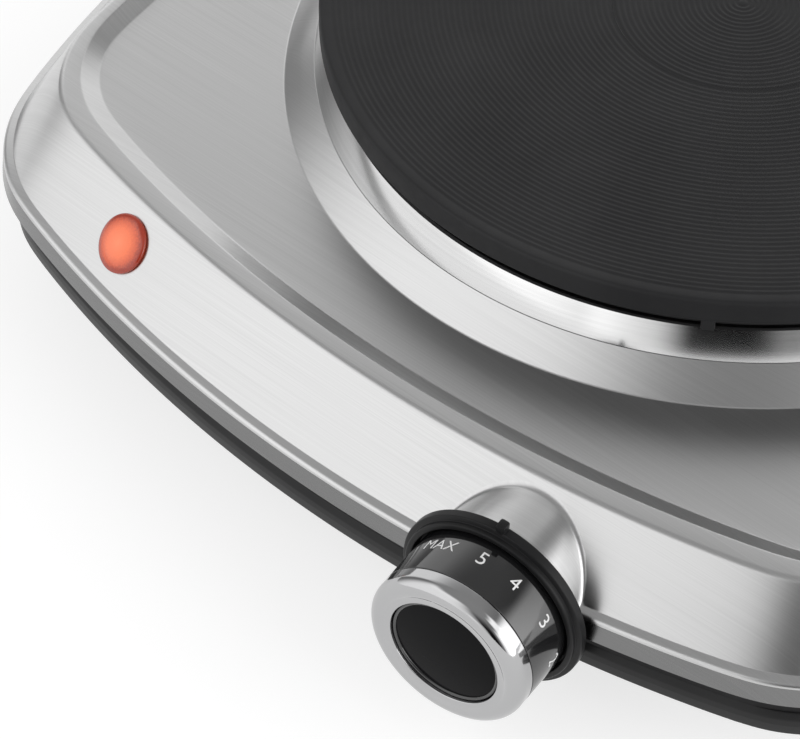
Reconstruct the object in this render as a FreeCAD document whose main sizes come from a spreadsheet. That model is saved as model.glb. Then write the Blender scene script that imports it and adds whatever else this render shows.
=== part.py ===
import FreeCAD
import Part
import Sketcher
import math
import os
import re

# Single electric hot plate: a pressed steel housing on a black base tray, a grooved cast plate in a
# polished ring, and a thermostat knob on the front. Millimetres and degrees. +Z is up, the front faces -Y,
# and the origin is on the table under the middle of the whole part's box.

DIMENSIONS = {
    # Housing shell, square in plan with bowed sides; a half is measured at the middle of a side
    "housing_half": 141.4,
    "side_radius": 330.0,
    "corner_radius": 41.0,
    "top_side_radius": 385.0,
    "top_corner_radius": 32.0,
    "sheet": 0.8,
    "lip_bottom": 28.8,
    "lip_height": 4.8,
    "ledge_run": 2.7,
    "ledge_rise": 1.5,
    "panel_run": 14.2,
    "rim_top": 50.0,
    "rim_width": 4.3,
    "step_run": 4.7,
    "deck_drop": 2.5,
    "collar_rise": 5.9,
    "collar_flare": 7.0,
    "collar_blend": 5.0,
    "rim_bend": 0.9,
    "lip_bend": 0.6,
    # Cast plate and its polished ring
    "plate_top": 70.0,
    "plate_radius": 92.5,
    "plate_rim": 4.9,
    "plate_edge": 0.6,
    "shadow_gap": 2.6,
    "shoulder_inset": 3.0,
    "spigot_inset": 5.8,
    "spigot_depth": 10.5,
    "cast_wall": 4.8,
    "cast_floor": 9.0,
    "recess_radius": 29.0,
    "recess_depth": 0.5,
    "groove_pitch": 1.28,
    "groove_depth": 0.22,
    "groove_margin": 2.0,
    "lug_width": 2.8,
    "lug_depth": 1.2,
    "lug_angle": 60.0,
    "ring_proud": 0.9,
    "ring_sheet": 0.9,
    "ring_bend": 3.4,
    # Heating rings under the plate and the clamp that holds the plate down
    "hub_radius": 9.0,
    "stud_radius": 4.0,
    "thread_clearance": 0.05,
    "hole_clearance": 0.4,
    "cover_sheet": 0.8,
    "cover_inset": 1.2,
    "element_radius": 3.0,
    "element_inner": 34.0,
    "element_step": 18.0,
    "element_clearance": 0.4,
    "bar_grip": 5.6,
    "bar_width": 22.0,
    "bar_thickness": 2.5,
    "washer_radius": 9.0,
    "washer_thickness": 1.5,
    "nut_corner": 7.5,
    "nut_height": 6.5,
    "shield_radius": 80.0,
    "shield_rim": 3.0,
    "pin_radius": 1.2,
    "pin_pitch": 12.0,
    "pin_offset": 20.0,
    "pin_drop": 6.0,
    "bead_radius": 3.4,
    "cutout_radius": 8.0,
    "cutout_height": 3.2,
    "cutout_place": 50.0,
    # Base tray, posts and feet
    "tray_set_back": 3.9,
    "tray_bottom": 16.0,
    "tray_tuck": 1.1,
    "tray_wall": 1.0,
    "boss_root": 6.0,
    "tray_seam": 0.3,
    "vent_length": 26.0,
    "vent_width": 4.0,
    "vent_place": 50.0,
    "vent_count": 12,
    "foot_inset": 49.5,
    "foot_radius": 10.0,
    "foot_taper": 1.5,
    "post_radius": 4.5,
    "screw_radius": 2.0,
    "screw_head": 3.8,
    "screw_head_height": 2.6,
    "screw_grip": 12.0,
    "foot_recess": 6.0,
    # Knob, dial and thermostat on one level axis that leaves the front squarely
    "knob_x": 48.6,
    "knob_height": 31.1,
    "knob_yaw": 7.0,
    "boss_proud": 0.35,
    "boss_radius": 18.0,
    "skirt_radius": 21.0,
    "skirt_flange": 2.3,
    "skirt_depth": 3.9,
    "skirt_step": 0.9,
    "skirt_web": 1.2,
    "pointer_width": 2.6,
    "pointer_height": 1.1,
    "drum_radius": 18.4,
    "drum_wall": 1.8,
    "drum_clear": 0.8,
    "drum_length": 13.0,
    "bezel_height": 4.9,
    "running_gap": 0.5,
    "bezel_round": 1.9,
    "bezel_flat": 0.7,
    "bezel_opening": 13.0,
    "bezel_dish": 0.5,
    "cap_recess": 0.9,
    "cap_crown": 0.7,
    "cap_gap": 0.1,
    "hub_bore_gap": 0.06,
    "drum_hub": 6.0,
    "clip_wall": 0.7,
    "clip_width": 3.0,
    "shaft_radius": 3.0,
    "shaft_clearance": 0.05,
    "shaft_flat": 2.2,
    "flat_length": 9.0,
    "bushing_radius": 4.9,
    "bushing_end": 0.4,
    "bushing_nut_corner": 8.0,
    "bushing_nut_height": 2.3,
    "neck_radius": 7.5,
    "neck_length": 11.2,
    "case_width": 34.0,
    "case_height": 20.0,
    "case_length": 22.0,
    "case_cavity": 8.5,
    "case_front_wall": 4.0,
    "case_lid": 2.0,
    "cam_radius": 7.0,
    "cam_lobe": 1.0,
    "cam_width": 4.0,
    "leaf_width": 4.0,
    "leaf_thickness": 0.5,
    "leaf_length": 7.5,
    "tab_width": 4.8,
    "tab_thickness": 0.8,
    "tab_length": 8.0,
    "tab_spread": 9.0,
    # Indicator lamp in the panel
    "lamp_place": -68.5,
    "lamp_radius": 6.6,
    "lamp_dome": 2.3,
    "lamp_flange": 0.7,
    "lamp_seat": 0.15,
    "lamp_stem": 5.4,
    "lamp_stem_length": 8.0,
    "lamp_wall": 0.9,
    "lamp_hole_gap": 0.25,
    "lamp_clip_gap": 0.35,
    "lamp_clip_width": 2.4,
    "lamp_clip_sheet": 0.8,
    "bulb_radius": 2.6,
    "bulb_length": 6.0,
    "socket_length": 4.0,
    # Mains inlet and terminals at the back
    "gland_bore": 3.6,
    "gland_wall": 1.8,
    "gland_flange": 7.6,
    "gland_flange_depth": 2.2,
    "gland_tail": 5.0,
    "gland_height": 24.5,
    "gland_gap": 0.15,
    "clamp_set_back": 25.5,
    "clamp_width": 24.0,
    "clamp_depth": 8.0,
    "clamp_cover": 2.4,
    "clamp_screw_spread": 8.5,
    "clamp_channel": 3.9,
    "block_set_back": 28.0,
    "block_width": 36.0,
    "block_depth": 16.0,
    "block_height": 13.0,
    "block_pitch": 11.0,
    "block_screw": 2.2,
    "block_screw_height": 1.4,
    "earth_place_x": -45.0,
    "earth_width": 9.0,
    "earth_length": 16.0,
    "lead_radius": 1.3,
    "lead_run": 36.0,
    "lead_swing": 50.0,
    "lead_gap": 0.2,
}

GROOVE_SHARE = 0.5
DOME_STEPS = 6
LUG_COUNT = 3
ELEMENT_COUNT = 3
PIN_COUNT = 3
BEND_SHARE = 0.45

doc = FreeCAD.newDocument("hot_plate_burner")
dims = doc.addObject("Spreadsheet::Sheet", "dims")
for row, (alias, number) in enumerate(DIMENSIONS.items(), start=1):
    dims.set(f"A{row}", alias)
    dims.set(f"B{row}", str(number))
    dims.setAlias(f"B{row}", alias)
doc.recompute()

V = FreeCAD.Vector
NODES = []


def linked(expression):
    """The expression with every named dimension read from the sheet."""
    return re.sub(r"[a-z][a-z_]*", lambda word: "dims." * (word[0] in DIMENSIONS) + word[0], expression)


def value(expression):
    """The number that an expression of named dimensions comes to."""
    return float(dims.evalExpression(linked(expression)))


def node(thing, label):
    """Marks an object of the document as a named sub-part."""
    thing.Label = label
    NODES.append(thing)
    return thing


# Heights and sizes that follow from the driving dimensions
LIP_TOP = "(lip_bottom + lip_height)"
LEDGE_TOP = "(lip_bottom + lip_height + ledge_rise)"
LEDGE_HALF = "(housing_half - ledge_run)"
TOP_HALF = "(housing_half - ledge_run - panel_run)"
RIM_HALF = f"({TOP_HALF} - rim_width)"
DECK_HALF = f"({RIM_HALF} - step_run)"
DECK_TOP = "(rim_top - deck_drop)"
DECK_UNDER = f"({DECK_TOP} - sheet)"
COLLAR_TOP = f"({DECK_TOP} + collar_rise)"
RING_RADIUS = "(plate_radius + ring_proud)"
COLLAR_FOOT = f"({RING_RADIUS} + collar_flare)"
RIM_UNDER = "(plate_top - plate_rim)"
RING_TOP = f"({RIM_UNDER} - shadow_gap)"
SPIGOT_RADIUS = "(plate_radius - spigot_inset)"
SPIGOT_BOTTOM = f"({RING_TOP} - spigot_depth)"
CAVITY_RADIUS = f"({SPIGOT_RADIUS} - cast_wall)"
CAVITY_TOP = "(plate_top - cast_floor)"
COVER_UNDER = f"({SPIGOT_BOTTOM} - cover_sheet)"
BAR_TOP = DECK_UNDER
BAR_UNDER = f"({BAR_TOP} - bar_thickness)"
WASHER_UNDER = f"({BAR_UNDER} - washer_thickness)"
NUT_UNDER = f"({WASHER_UNDER} - nut_height)"
STUD_HOLE = "(stud_radius + hole_clearance)"
FLOOR_TOP = "(tray_bottom + tray_wall)"
TRAY_HALF = "(housing_half - tray_set_back)"
TRAY_TOP = f"({LIP_TOP} - tray_tuck)"
FOOT_PLACE = f"({TRAY_HALF} - foot_inset)"
CLAMP_PLACE = f"({TRAY_HALF} - clamp_set_back)"
BLOCK_PLACE = f"({CLAMP_PLACE} - block_set_back)"
COVER_RADIUS = f"({SPIGOT_RADIUS} - cover_inset)"
BEZEL_RING = "(drum_radius - bezel_round)"
DRUM_REAR = "(skirt_web + drum_clear)"
DRUM_FRONT = f"({DRUM_REAR} + drum_length)"
KNOB_FRONT = f"({DRUM_FRONT} + bezel_height)"
BUSHING_REACH = "(skirt_web + bushing_nut_height + bushing_end)"
HUB_REAR = f"({BUSHING_REACH} + running_gap)"
PANEL_RISE = f"(rim_top - {LEDGE_TOP})"


def bow(half, side, corner):
    """A bowed square's layout: its side arcs' set-back, its corners' place and its sides' half angle."""
    set_back = side - half
    corner_place = (math.sqrt(2 * (side - corner) ** 2 - set_back**2) - set_back) / 2
    return set_back, corner_place, math.atan2(corner_place, corner_place + set_back)


def front_point(share, height, half, side, corner):
    """A point of a bowed front edge, a share of the way from its middle to its corner.

    It is given as it is seen from the front: to the right, up, and out towards the viewer.
    """
    turn = share * bow(half, side, corner)[2]
    return V(side * math.sin(turn), height, half - side * (1 - math.cos(turn)))


# Frames: the plate's axis, the knob's axis and the lamp's axis
YAW = value("knob_yaw")
SIDE_RADIUS = value("side_radius")
LIP_REACH = value("housing_half") - SIDE_RADIUS + math.sqrt(SIDE_RADIUS**2 - value("knob_x") ** 2)
BOSS_REACH = LIP_REACH + value("boss_proud")
ROUND_CENTRE = value(f"{KNOB_FRONT} - bezel_round")
FRONT_REACH = (
    BOSS_REACH
    + value("bezel_round")
    + ROUND_CENTRE * math.cos(math.radians(YAW))
    + value(BEZEL_RING) * math.sin(math.radians(YAW))
)
AXIS_Y = (FRONT_REACH - value("housing_half")) / 2
PLATE_FRAME = FreeCAD.Placement(V(0, AXIS_Y, 0), FreeCAD.Rotation())

# On the upright plane that faces the front: x to the right, y up, and z out of the front
FRONT = FreeCAD.Placement(V(0, 0, 0), FreeCAD.Rotation(V(1, 0, 0), V(0, 0, 1), V(0, -1, 0), "ZXY"))
KNOB_OFFSET = FreeCAD.Placement(
    V(value("knob_x"), value("knob_height"), BOSS_REACH), FreeCAD.Rotation(V(0, 1, 0), YAW)
)
KNOB_FRAME = PLATE_FRAME * FRONT * KNOB_OFFSET

# The lamp stands square to the panel, half way up it
PANEL_FOOT = (value(LEDGE_TOP), value(LEDGE_HALF), SIDE_RADIUS, value("corner_radius"))
PANEL_HEAD = (value("rim_top"), value(TOP_HALF), value("top_side_radius"), value("top_corner_radius"))
FOOT_ARC = PANEL_FOOT[2] * bow(*PANEL_FOOT[1:])[2]
HEAD_ARC = PANEL_HEAD[2] * bow(*PANEL_HEAD[1:])[2]
LAMP_SHARE = 2 * value("lamp_place") / (FOOT_ARC + HEAD_ARC)
LAMP_FOOT = front_point(LAMP_SHARE, *PANEL_FOOT)
LAMP_HEAD = front_point(LAMP_SHARE, *PANEL_HEAD)
LAMP_TURN = LAMP_SHARE * (bow(*PANEL_FOOT[1:])[2] + bow(*PANEL_HEAD[1:])[2]) / 2
LAMP_RIGHT = V(math.cos(LAMP_TURN), 0, -math.sin(LAMP_TURN))
LAMP_OUT = LAMP_RIGHT.cross(LAMP_HEAD - LAMP_FOOT)
LAMP_OFFSET = FreeCAD.Placement(
    (LAMP_FOOT + LAMP_HEAD) * 0.5, FreeCAD.Rotation(LAMP_RIGHT, V(0, 1, 0), LAMP_OUT, "ZXY")
)
LAMP_FRAME = PLATE_FRAME * FRONT * LAMP_OFFSET


def new_body(label, frame=PLATE_FRAME):
    body = doc.addObject("PartDesign::Body", label)
    body.Placement = frame
    return node(body, label)


def sketch_on(body, name, plane="XY_Plane", offset=None, height=None):
    """A sketch on one of the body's own planes, moved by an offset or lifted to a height."""
    sketch = body.newObject("Sketcher::SketchObject", name)
    support = [feature for feature in body.Origin.OriginFeatures if feature.Role == plane][0]
    sketch.AttachmentSupport = (support, [""])
    sketch.MapMode = "FlatFace"
    if offset is not None:
        sketch.AttachmentOffset = offset
    if height is not None:
        sketch.setExpression("AttachmentOffset.Base.z", linked(height))
    return sketch


def bound(sketch, expression, *constraint):
    """Adds a dimension constraint whose value is an expression of the sheet."""
    index = sketch.addConstraint(Sketcher.Constraint(*constraint, value(expression)))
    sketch.setExpression(f"Constraints[{index}]", linked(expression))


def polygon(sketch, points):
    """A closed outline whose corners are (x, y) expressions."""
    first = sketch.GeometryCount
    corners = [V(value(x), value(y), 0) for x, y in points]
    count = len(points)
    for index, corner in enumerate(corners):
        sketch.addGeometry(Part.LineSegment(corner, corners[(index + 1) % count]), False)
    for index in range(count):
        following = first + (index + 1) % count
        sketch.addConstraint(Sketcher.Constraint("Coincident", first + index, 2, following, 1))
    for index, (x, y) in enumerate(points):
        if x == "0":
            sketch.addConstraint(Sketcher.Constraint("PointOnObject", first + index, 1, -2))
        else:
            bound(sketch, x, "DistanceX", -1, 1, first + index, 1)
        bound(sketch, y, "DistanceY", -1, 1, first + index, 1)
    return sketch


def circle(sketch, radius, x=None, y=None):
    """A circle of a bound radius at the sketch's origin, or at a bound place."""
    centre = V(value(x or "0"), value(y or "0"), 0)
    index = sketch.addGeometry(Part.Circle(centre, V(0, 0, 1), value(radius)), False)
    bound(sketch, radius, "Radius", index)
    if x is None and y is None:
        sketch.addConstraint(Sketcher.Constraint("Coincident", index, 3, -1, 1))
    else:
        bound(sketch, x or "0", "DistanceX", -1, 1, index, 3)
        bound(sketch, y or "0", "DistanceY", -1, 1, index, 3)
    return sketch


def bowed_square(body, name, height, half, side, corner):
    """A square outline with bowed sides and round corners, tangent all the way round."""
    sketch = sketch_on(body, name, height=height)
    side_arc = value(side)
    corner_arc = value(corner)
    set_back, corner_place, spread = bow(value(half), side_arc, corner_arc)
    for quarter in range(4):
        facing = math.pi * (1.5 + quarter / 2)
        outward = V(math.cos(facing), math.sin(facing), 0)
        beside = V(math.cos(facing + math.pi / 2), math.sin(facing + math.pi / 2), 0)
        side_circle = Part.Circle(outward * -set_back, V(0, 0, 1), side_arc)
        corner_circle = Part.Circle((outward + beside) * corner_place, V(0, 0, 1), corner_arc)
        sketch.addGeometry(Part.ArcOfCircle(side_circle, facing - spread, facing + spread), False)
        turn_end = facing + math.pi / 2 - spread
        sketch.addGeometry(Part.ArcOfCircle(corner_circle, facing + spread, turn_end), False)
    for arc in range(8):
        sketch.addConstraint(Sketcher.Constraint("Tangent", arc, 2, (arc + 1) % 8, 1))
    for quarter in range(4):
        along, across = ("DistanceY", -2) if quarter % 2 == 0 else ("DistanceX", -1)
        sketch.addConstraint(Sketcher.Constraint("PointOnObject", 2 * quarter, 3, across))
        sign = "" if quarter in (0, 3) else "-"
        bound(sketch, f"{sign}(({side}) - ({half}))", along, -1, 1, 2 * quarter, 3)
        if quarter:
            sketch.addConstraint(Sketcher.Constraint("Equal", 0, 2 * quarter))
            sketch.addConstraint(Sketcher.Constraint("Equal", 1, 2 * quarter + 1))
    bound(sketch, side, "Radius", 0)
    bound(sketch, corner, "Radius", 1)
    return sketch


def loft(body, name, kind, outlines):
    """A straight-walled loft through outlines, added or taken away."""
    feature = body.newObject(f"PartDesign::{kind}", name)
    feature.Profile = outlines[0]
    feature.Sections = outlines[1:]
    feature.Ruled = True
    return feature


def extruded(body, kind, sketch, length, reverse=False):
    """A pad or pocket of a bound length."""
    feature = body.newObject(f"PartDesign::{kind}", f"{sketch.Name}_{kind.lower()}")
    feature.Profile = sketch
    feature.setExpression("Length", linked(length))
    feature.Reversed = reverse
    return feature


def revolve(body, sketch, kind="Revolution"):
    feature = body.newObject(f"PartDesign::{kind}", f"{sketch.Name}_turned")
    feature.Profile = sketch
    feature.ReferenceAxis = (sketch, ["V_Axis"])
    feature.Angle = 360
    return feature


def turned(label, points, frame=PLATE_FRAME):
    """A body turned about its frame's Z from a closed (radius, height) outline."""
    body = new_body(label, frame)
    revolve(body, polygon(sketch_on(body, f"{label}_outline", "XZ_Plane"), points))
    return body


def edges_at(feature, test):
    """Names of the edges of a feature whose every sampled point passes a test of radius and height."""
    doc.recompute()
    names = []
    for index, edge in enumerate(feature.Shape.Edges, start=1):
        points = edge.discretize(5)
        if all(test(math.hypot(point.x, point.y), point.z) for point in points):
            names.append(f"Edge{index}")
    return names


def near(place, target):
    """Whether a length is the same as a target, to within a hundredth."""
    return abs(place - target) < 0.01


def rounded(body, feature, name, radius, test):
    """A fillet of bound radius on the edges of a feature that pass a test."""
    fillet = body.newObject("PartDesign::Fillet", name)
    fillet.Base = (feature, edges_at(feature, test))
    fillet.setExpression("Radius", linked(radius))
    body.Tip = fillet
    return fillet


def primitive(kind, name, sizes, frame):
    """A Part primitive with bound sizes at a frame."""
    thing = doc.addObject(f"Part::{kind}", name)
    for size, expression in sizes.items():
        thing.setExpression(size, linked(expression))
    thing.Placement = frame
    return thing


def shifted(frame, x="0", y="0", z="0"):
    """A frame moved along its own axes by expressions."""
    return frame * FreeCAD.Placement(V(value(x), value(y), value(z)), FreeCAD.Rotation())


def cylinder(name, radius, length, frame):
    return primitive("Cylinder", name, {"Radius": radius, "Height": length}, frame)


def block(name, width, depth, height, frame):
    """A box centred on its frame's x and y, rising from its z."""
    corner = shifted(frame, f"-{width} / 2", f"-{depth} / 2")
    return primitive("Box", name, {"Length": width, "Width": depth, "Height": height}, corner)


def hexagon(name, corner, height, frame):
    prism = primitive("Prism", name, {"Circumradius": corner, "Height": height}, frame)
    prism.Polygon = 6
    return prism


def cut(name, base, *tools):
    """A base with each tool taken away in turn."""
    for index, tool in enumerate(tools):
        result = doc.addObject("Part::Cut", f"{name}_cut{index}")
        result.Base = base
        result.Tool = tool
        base = result
    return base


def fused(name, *pieces):
    result = doc.addObject("Part::MultiFuse", name)
    result.Shapes = list(pieces)
    return result


def group(label, pieces):
    """Separate equal solids kept in one node."""
    result = doc.addObject("Part::Compound", label)
    result.Links = list(pieces)
    return node(result, label)


def bend_inset(before, after):
    """How far a sheet's inner bend lies in and down from its outer bend, per unit of sheet.

    The two stretches are given by their slopes, in radians above the level.
    """
    first = V(math.sin(before), math.cos(before), 0)
    second = V(math.sin(after), math.cos(after), 0)
    return (first + second) * (1 / (1 + first.dot(second)))


def shell_levels():
    """The housing wall's outer outlines from lip to rim, with its two outer bends eased by flats."""
    ledge_slope = math.atan2(value("ledge_rise"), value("ledge_run"))
    panel_slope = math.atan2(value(PANEL_RISE), value("panel_run"))
    low = ("side_radius", "corner_radius")
    high = ("top_side_radius", "top_corner_radius")
    return [
        ("lip_bottom", "housing_half", *low),
        (f"{LIP_TOP} - lip_bend", "housing_half", *low),
        (
            f"{LIP_TOP} + lip_bend * {math.sin(ledge_slope)}",
            f"housing_half - lip_bend * {math.cos(ledge_slope)}",
            *low,
        ),
        (LEDGE_TOP, LEDGE_HALF, *low),
        (
            f"rim_top - rim_bend * {math.sin(panel_slope)}",
            f"{TOP_HALF} + rim_bend * {math.cos(panel_slope)}",
            *high,
        ),
        ("rim_top", f"{TOP_HALF} - rim_bend", *high),
    ]


def inner_levels():
    """The housing wall's inner outlines, one sheet in from the outer ones."""
    ledge_slope = math.atan2(value("ledge_rise"), value("ledge_run"))
    panel_slope = math.atan2(value(PANEL_RISE), value("panel_run"))
    low = ("side_radius", "corner_radius")
    high = ("top_side_radius", "top_corner_radius")
    bends = [
        ("lip_bottom", "housing_half", *low, V(1, 0, 0)),
        (LIP_TOP, "housing_half", *low, bend_inset(math.pi / 2, ledge_slope)),
        (LEDGE_TOP, LEDGE_HALF, *low, bend_inset(ledge_slope, panel_slope)),
        ("rim_top", TOP_HALF, *high, bend_inset(panel_slope, 0)),
    ]
    return [
        (
            f"{height} - {step.y} * sheet",
            f"{half} - {step.x} * sheet",
            f"{side} - {step.x} * sheet",
            f"{corner} - {step.x} * sheet",
        )
        for height, half, side, corner, step in bends
    ]


def sections(body, name, levels):
    return [bowed_square(body, f"{name}_{index}", *level) for index, level in enumerate(levels)]


def pan_sections(body, name, out, drop):
    """Outlines of the sunk deck: at the rim and at the deck, grown outwards and lowered."""
    rim_side = f"top_side_radius - rim_width + {out}"
    rim_corner = f"top_corner_radius - rim_width + {out}"
    rim_half = f"{RIM_HALF} + {out}"
    top = bowed_square(body, f"{name}_top", f"rim_top - {drop} / 2", rim_half, rim_side, rim_corner)
    floor = bowed_square(
        body,
        f"{name}_floor",
        f"{DECK_TOP} - {drop}",
        f"{DECK_HALF} + {out}",
        f"{rim_side} - step_run",
        f"{rim_corner} - step_run",
    )
    return [floor, top]


def make_top_housing():
    body = new_body("top_housing")
    loft(body, "outer_wall", "AdditiveLoft", sections(body, "outer", shell_levels()))
    boss = circle(sketch_on(body, "boss_round", "XZ_Plane", KNOB_OFFSET), "boss_radius")
    extruded(body, "Pad", boss, "boss_radius", reverse=True)
    loft(body, "inner_wall", "SubtractiveLoft", sections(body, "inner", inner_levels()))
    loft(body, "pan_outer", "AdditiveLoft", pan_sections(body, "pan_outer", "sheet", "sheet"))
    loft(body, "pan_inner", "SubtractiveLoft", pan_sections(body, "pan_inner", "0", "0"))
    behind_face = KNOB_OFFSET * FreeCAD.Placement(V(0, 0, -value("sheet")), FreeCAD.Rotation())
    hollow = circle(sketch_on(body, "boss_hollow", "XZ_Plane", behind_face), "boss_radius - sheet")
    extruded(body, "Pocket", hollow, "boss_radius")
    below_lip = FreeCAD.Placement(
        V(value("knob_x"), -BOSS_REACH, value("lip_bottom")), FreeCAD.Rotation(V(0, 0, 1), YAW)
    )
    trim = sketch_on(body, "boss_trim", "XY_Plane", below_lip)
    half_width = "(boss_radius + sheet)"
    polygon(
        trim,
        [
            (f"-{half_width}", "sheet"),
            (half_width, "sheet"),
            (half_width, "2 * boss_radius"),
            (f"-{half_width}", "2 * boss_radius"),
        ],
    )
    extruded(body, "Pocket", trim, "2 * boss_radius")
    shaft_hole = sketch_on(body, "shaft_hole", "XZ_Plane", KNOB_OFFSET)
    extruded(body, "Pocket", circle(shaft_hole, "bushing_radius + thread_clearance"), "2 * sheet")
    lamp_hole = circle(sketch_on(body, "lamp_hole", "XZ_Plane", LAMP_OFFSET), "lamp_stem + lamp_hole_gap")
    outside = extruded(body, "Pocket", lamp_hole, "lamp_stem")
    outside.Midplane = True
    plate_hole = circle(sketch_on(body, "plate_hole", height=DECK_TOP), f"{COLLAR_FOOT} - sheet")
    extruded(body, "Pocket", plate_hole, "2 * sheet")
    collar = sketch_on(body, "collar_outline", "XZ_Plane")
    polygon(
        collar,
        [
            (f"{RING_RADIUS} - ring_sheet", COLLAR_TOP),
            (RING_RADIUS, COLLAR_TOP),
            (COLLAR_FOOT, DECK_TOP),
            (COLLAR_FOOT, DECK_UNDER),
            (f"{COLLAR_FOOT} - sheet", DECK_UNDER),
        ],
    )
    flare = revolve(body, collar)
    foot_radius = value(COLLAR_FOOT)
    deck_height = value(DECK_TOP)
    rounded(
        body,
        flare,
        "collar_fillet",
        "collar_blend",
        lambda radius, height: near(radius, foot_radius) and near(height, deck_height),
    )
    return body


def make_hot_plate():
    """The cast plate: fine ring grooves on top, a shallow round recess, and a hollow spigot below."""
    top = value("plate_top")
    outer = value("plate_radius")
    edge = value("plate_edge")
    pitch = value("groove_pitch")
    depth = value("groove_depth")
    recess = value("recess_radius")
    sunk = value("recess_depth")
    count = int((outer - edge - value("groove_margin")) / pitch)
    outline = [V(0, 0, top - sunk)]
    for index in range(1, count + 1):
        middle = index * pitch
        level = top - sunk if middle + pitch / 2 < recess else top
        half_groove = pitch * GROOVE_SHARE / 2
        outline += [
            V(middle - half_groove, 0, level),
            V(middle, 0, level - depth),
            V(middle + half_groove, 0, level),
        ]
    spigot = value(SPIGOT_RADIUS)
    cavity = value(CAVITY_RADIUS)
    under = value(RIM_UNDER)
    seat = value(RING_TOP)
    bottom = value(SPIGOT_BOTTOM)
    roof = value(CAVITY_TOP)
    hub = value("hub_radius")
    shoulder = outer - value("shoulder_inset")
    hole = value("stud_radius + thread_clearance")
    hole_top = roof + value("cast_floor") / 2
    outline += [
        V(outer - edge, 0, top),
        V(outer, 0, top - edge),
        V(outer, 0, under),
        V(shoulder, 0, under),
        V(shoulder, 0, seat),
        V(spigot, 0, seat),
        V(spigot, 0, bottom),
        V(cavity, 0, bottom),
        V(cavity, 0, roof),
        V(hub, 0, roof),
        V(hub, 0, bottom),
        V(hole, 0, bottom),
        V(hole, 0, hole_top),
        V(0, 0, hole_top),
    ]
    plate = Part.Face(Part.makePolygon(outline + outline[:1])).revolve(V(0, 0, 0), V(0, 0, 1), 360)
    for index in range(LUG_COUNT):
        lug = Part.makeBox(
            outer - shoulder,
            value("lug_width"),
            value("lug_depth + plate_edge"),
            V(shoulder, -value("lug_width") / 2, under - value("lug_depth")),
        )
        lug.rotate(V(0, 0, 0), V(0, 0, 1), -value("lug_angle") + index * 360 / LUG_COUNT)
        plate = plate.fuse(lug)
    thing = doc.addObject("Part::Feature", "hot_plate")
    thing.Shape = plate.removeSplitter()
    thing.Placement = PLATE_FRAME
    return node(thing, "hot_plate")


def make_trim_ring():
    body = turned(
        "trim_ring",
        [
            (f"{RING_RADIUS} - ring_sheet", COLLAR_TOP),
            (RING_RADIUS, COLLAR_TOP),
            (RING_RADIUS, RING_TOP),
            (f"{SPIGOT_RADIUS} + hole_clearance", RING_TOP),
            (f"{SPIGOT_RADIUS} + hole_clearance", f"{RING_TOP} - ring_sheet"),
            (f"{RING_RADIUS} - ring_sheet", f"{RING_TOP} - ring_sheet"),
        ],
    )
    outer = value(RING_RADIUS)
    top = value(RING_TOP)
    sheet = value("ring_sheet")
    inside = rounded(
        body,
        body.Tip,
        "inside_bend",
        "ring_bend - ring_sheet",
        lambda radius, height: near(radius, outer - sheet) and near(height, top - sheet),
    )
    rounded(
        body,
        inside,
        "outside_bend",
        "ring_bend",
        lambda radius, height: near(radius, outer) and near(height, top),
    )
    return body


def drill(body, name, radius, places, height, depth):
    """Round holes at (x, y) expressions, cut down from a height."""
    sketch = sketch_on(body, name, height=height)
    for x, y in places:
        circle(sketch, radius, x, y)
    return extruded(body, "Pocket", sketch, depth)


def pin_places():
    middle = (PIN_COUNT - 1) / 2
    return [(f"{index - middle} * pin_pitch", "-pin_offset") for index in range(PIN_COUNT)]


def make_heating():
    """What lies under the cast plate: rings in grooved insulation, the cover, pins and beads."""
    rings = []
    height = f"{CAVITY_TOP} - element_clearance - element_radius"
    groove_floor = f"{CAVITY_TOP} - 2 * element_radius - 2 * element_clearance"
    face = f"{CAVITY_TOP} - element_clearance"
    rim = f"{CAVITY_RADIUS} - hole_clearance"
    profile = [("hub_radius + hole_clearance", SPIGOT_BOTTOM), (rim, SPIGOT_BOTTOM), (rim, face)]
    for index in reversed(range(ELEMENT_COUNT)):
        ring = f"(element_inner + {index} * element_step)"
        reach = "(element_radius + element_clearance)"
        torus = primitive(
            "Torus",
            f"heating_ring_{index}",
            {"Radius1": ring, "Radius2": "element_radius"},
            shifted(PLATE_FRAME, z=height),
        )
        rings.append(torus)
        profile += [
            (f"{ring} + {reach}", face),
            (f"{ring} + {reach}", groove_floor),
            (f"{ring} - {reach}", groove_floor),
            (f"{ring} - {reach}", face),
        ]
    profile.append(("hub_radius + hole_clearance", face))
    group("heating_rings", rings)
    insulation = turned("insulation", profile)
    drill(insulation, "pin_ways", "pin_radius + element_clearance", pin_places(), face, "plate_top")
    cover = turned(
        "plate_cover",
        [
            (STUD_HOLE, COVER_UNDER),
            (COVER_RADIUS, COVER_UNDER),
            (COVER_RADIUS, SPIGOT_BOTTOM),
            (STUD_HOLE, SPIGOT_BOTTOM),
        ],
    )
    drill(cover, "bead_ways", "bead_radius + hole_clearance", pin_places(), SPIGOT_BOTTOM, "plate_top")
    pins = []
    beads = []
    bead_bottom = f"({BAR_UNDER} - pin_drop / 2)"
    pin_bottom = f"({BAR_UNDER} - pin_drop)"
    for index, (x, y) in enumerate(pin_places()):
        pin_frame = shifted(PLATE_FRAME, x, y, pin_bottom)
        pin_length = f"{SPIGOT_BOTTOM} + pin_drop / 2 - {pin_bottom}"
        pins.append(cylinder(f"pin_{index}", "pin_radius", pin_length, pin_frame))
        bead_frame = shifted(PLATE_FRAME, x, y, bead_bottom)
        length = f"{SPIGOT_BOTTOM} - {bead_bottom}"
        outer = cylinder(f"bead_body_{index}", "bead_radius", length, bead_frame)
        bore = cylinder(f"bead_bore_{index}", "pin_radius + thread_clearance", length, bead_frame)
        beads.append(cut(f"bead_{index}", outer, bore))
    group("element_pins", pins)
    group("ceramic_beads", beads)


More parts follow.
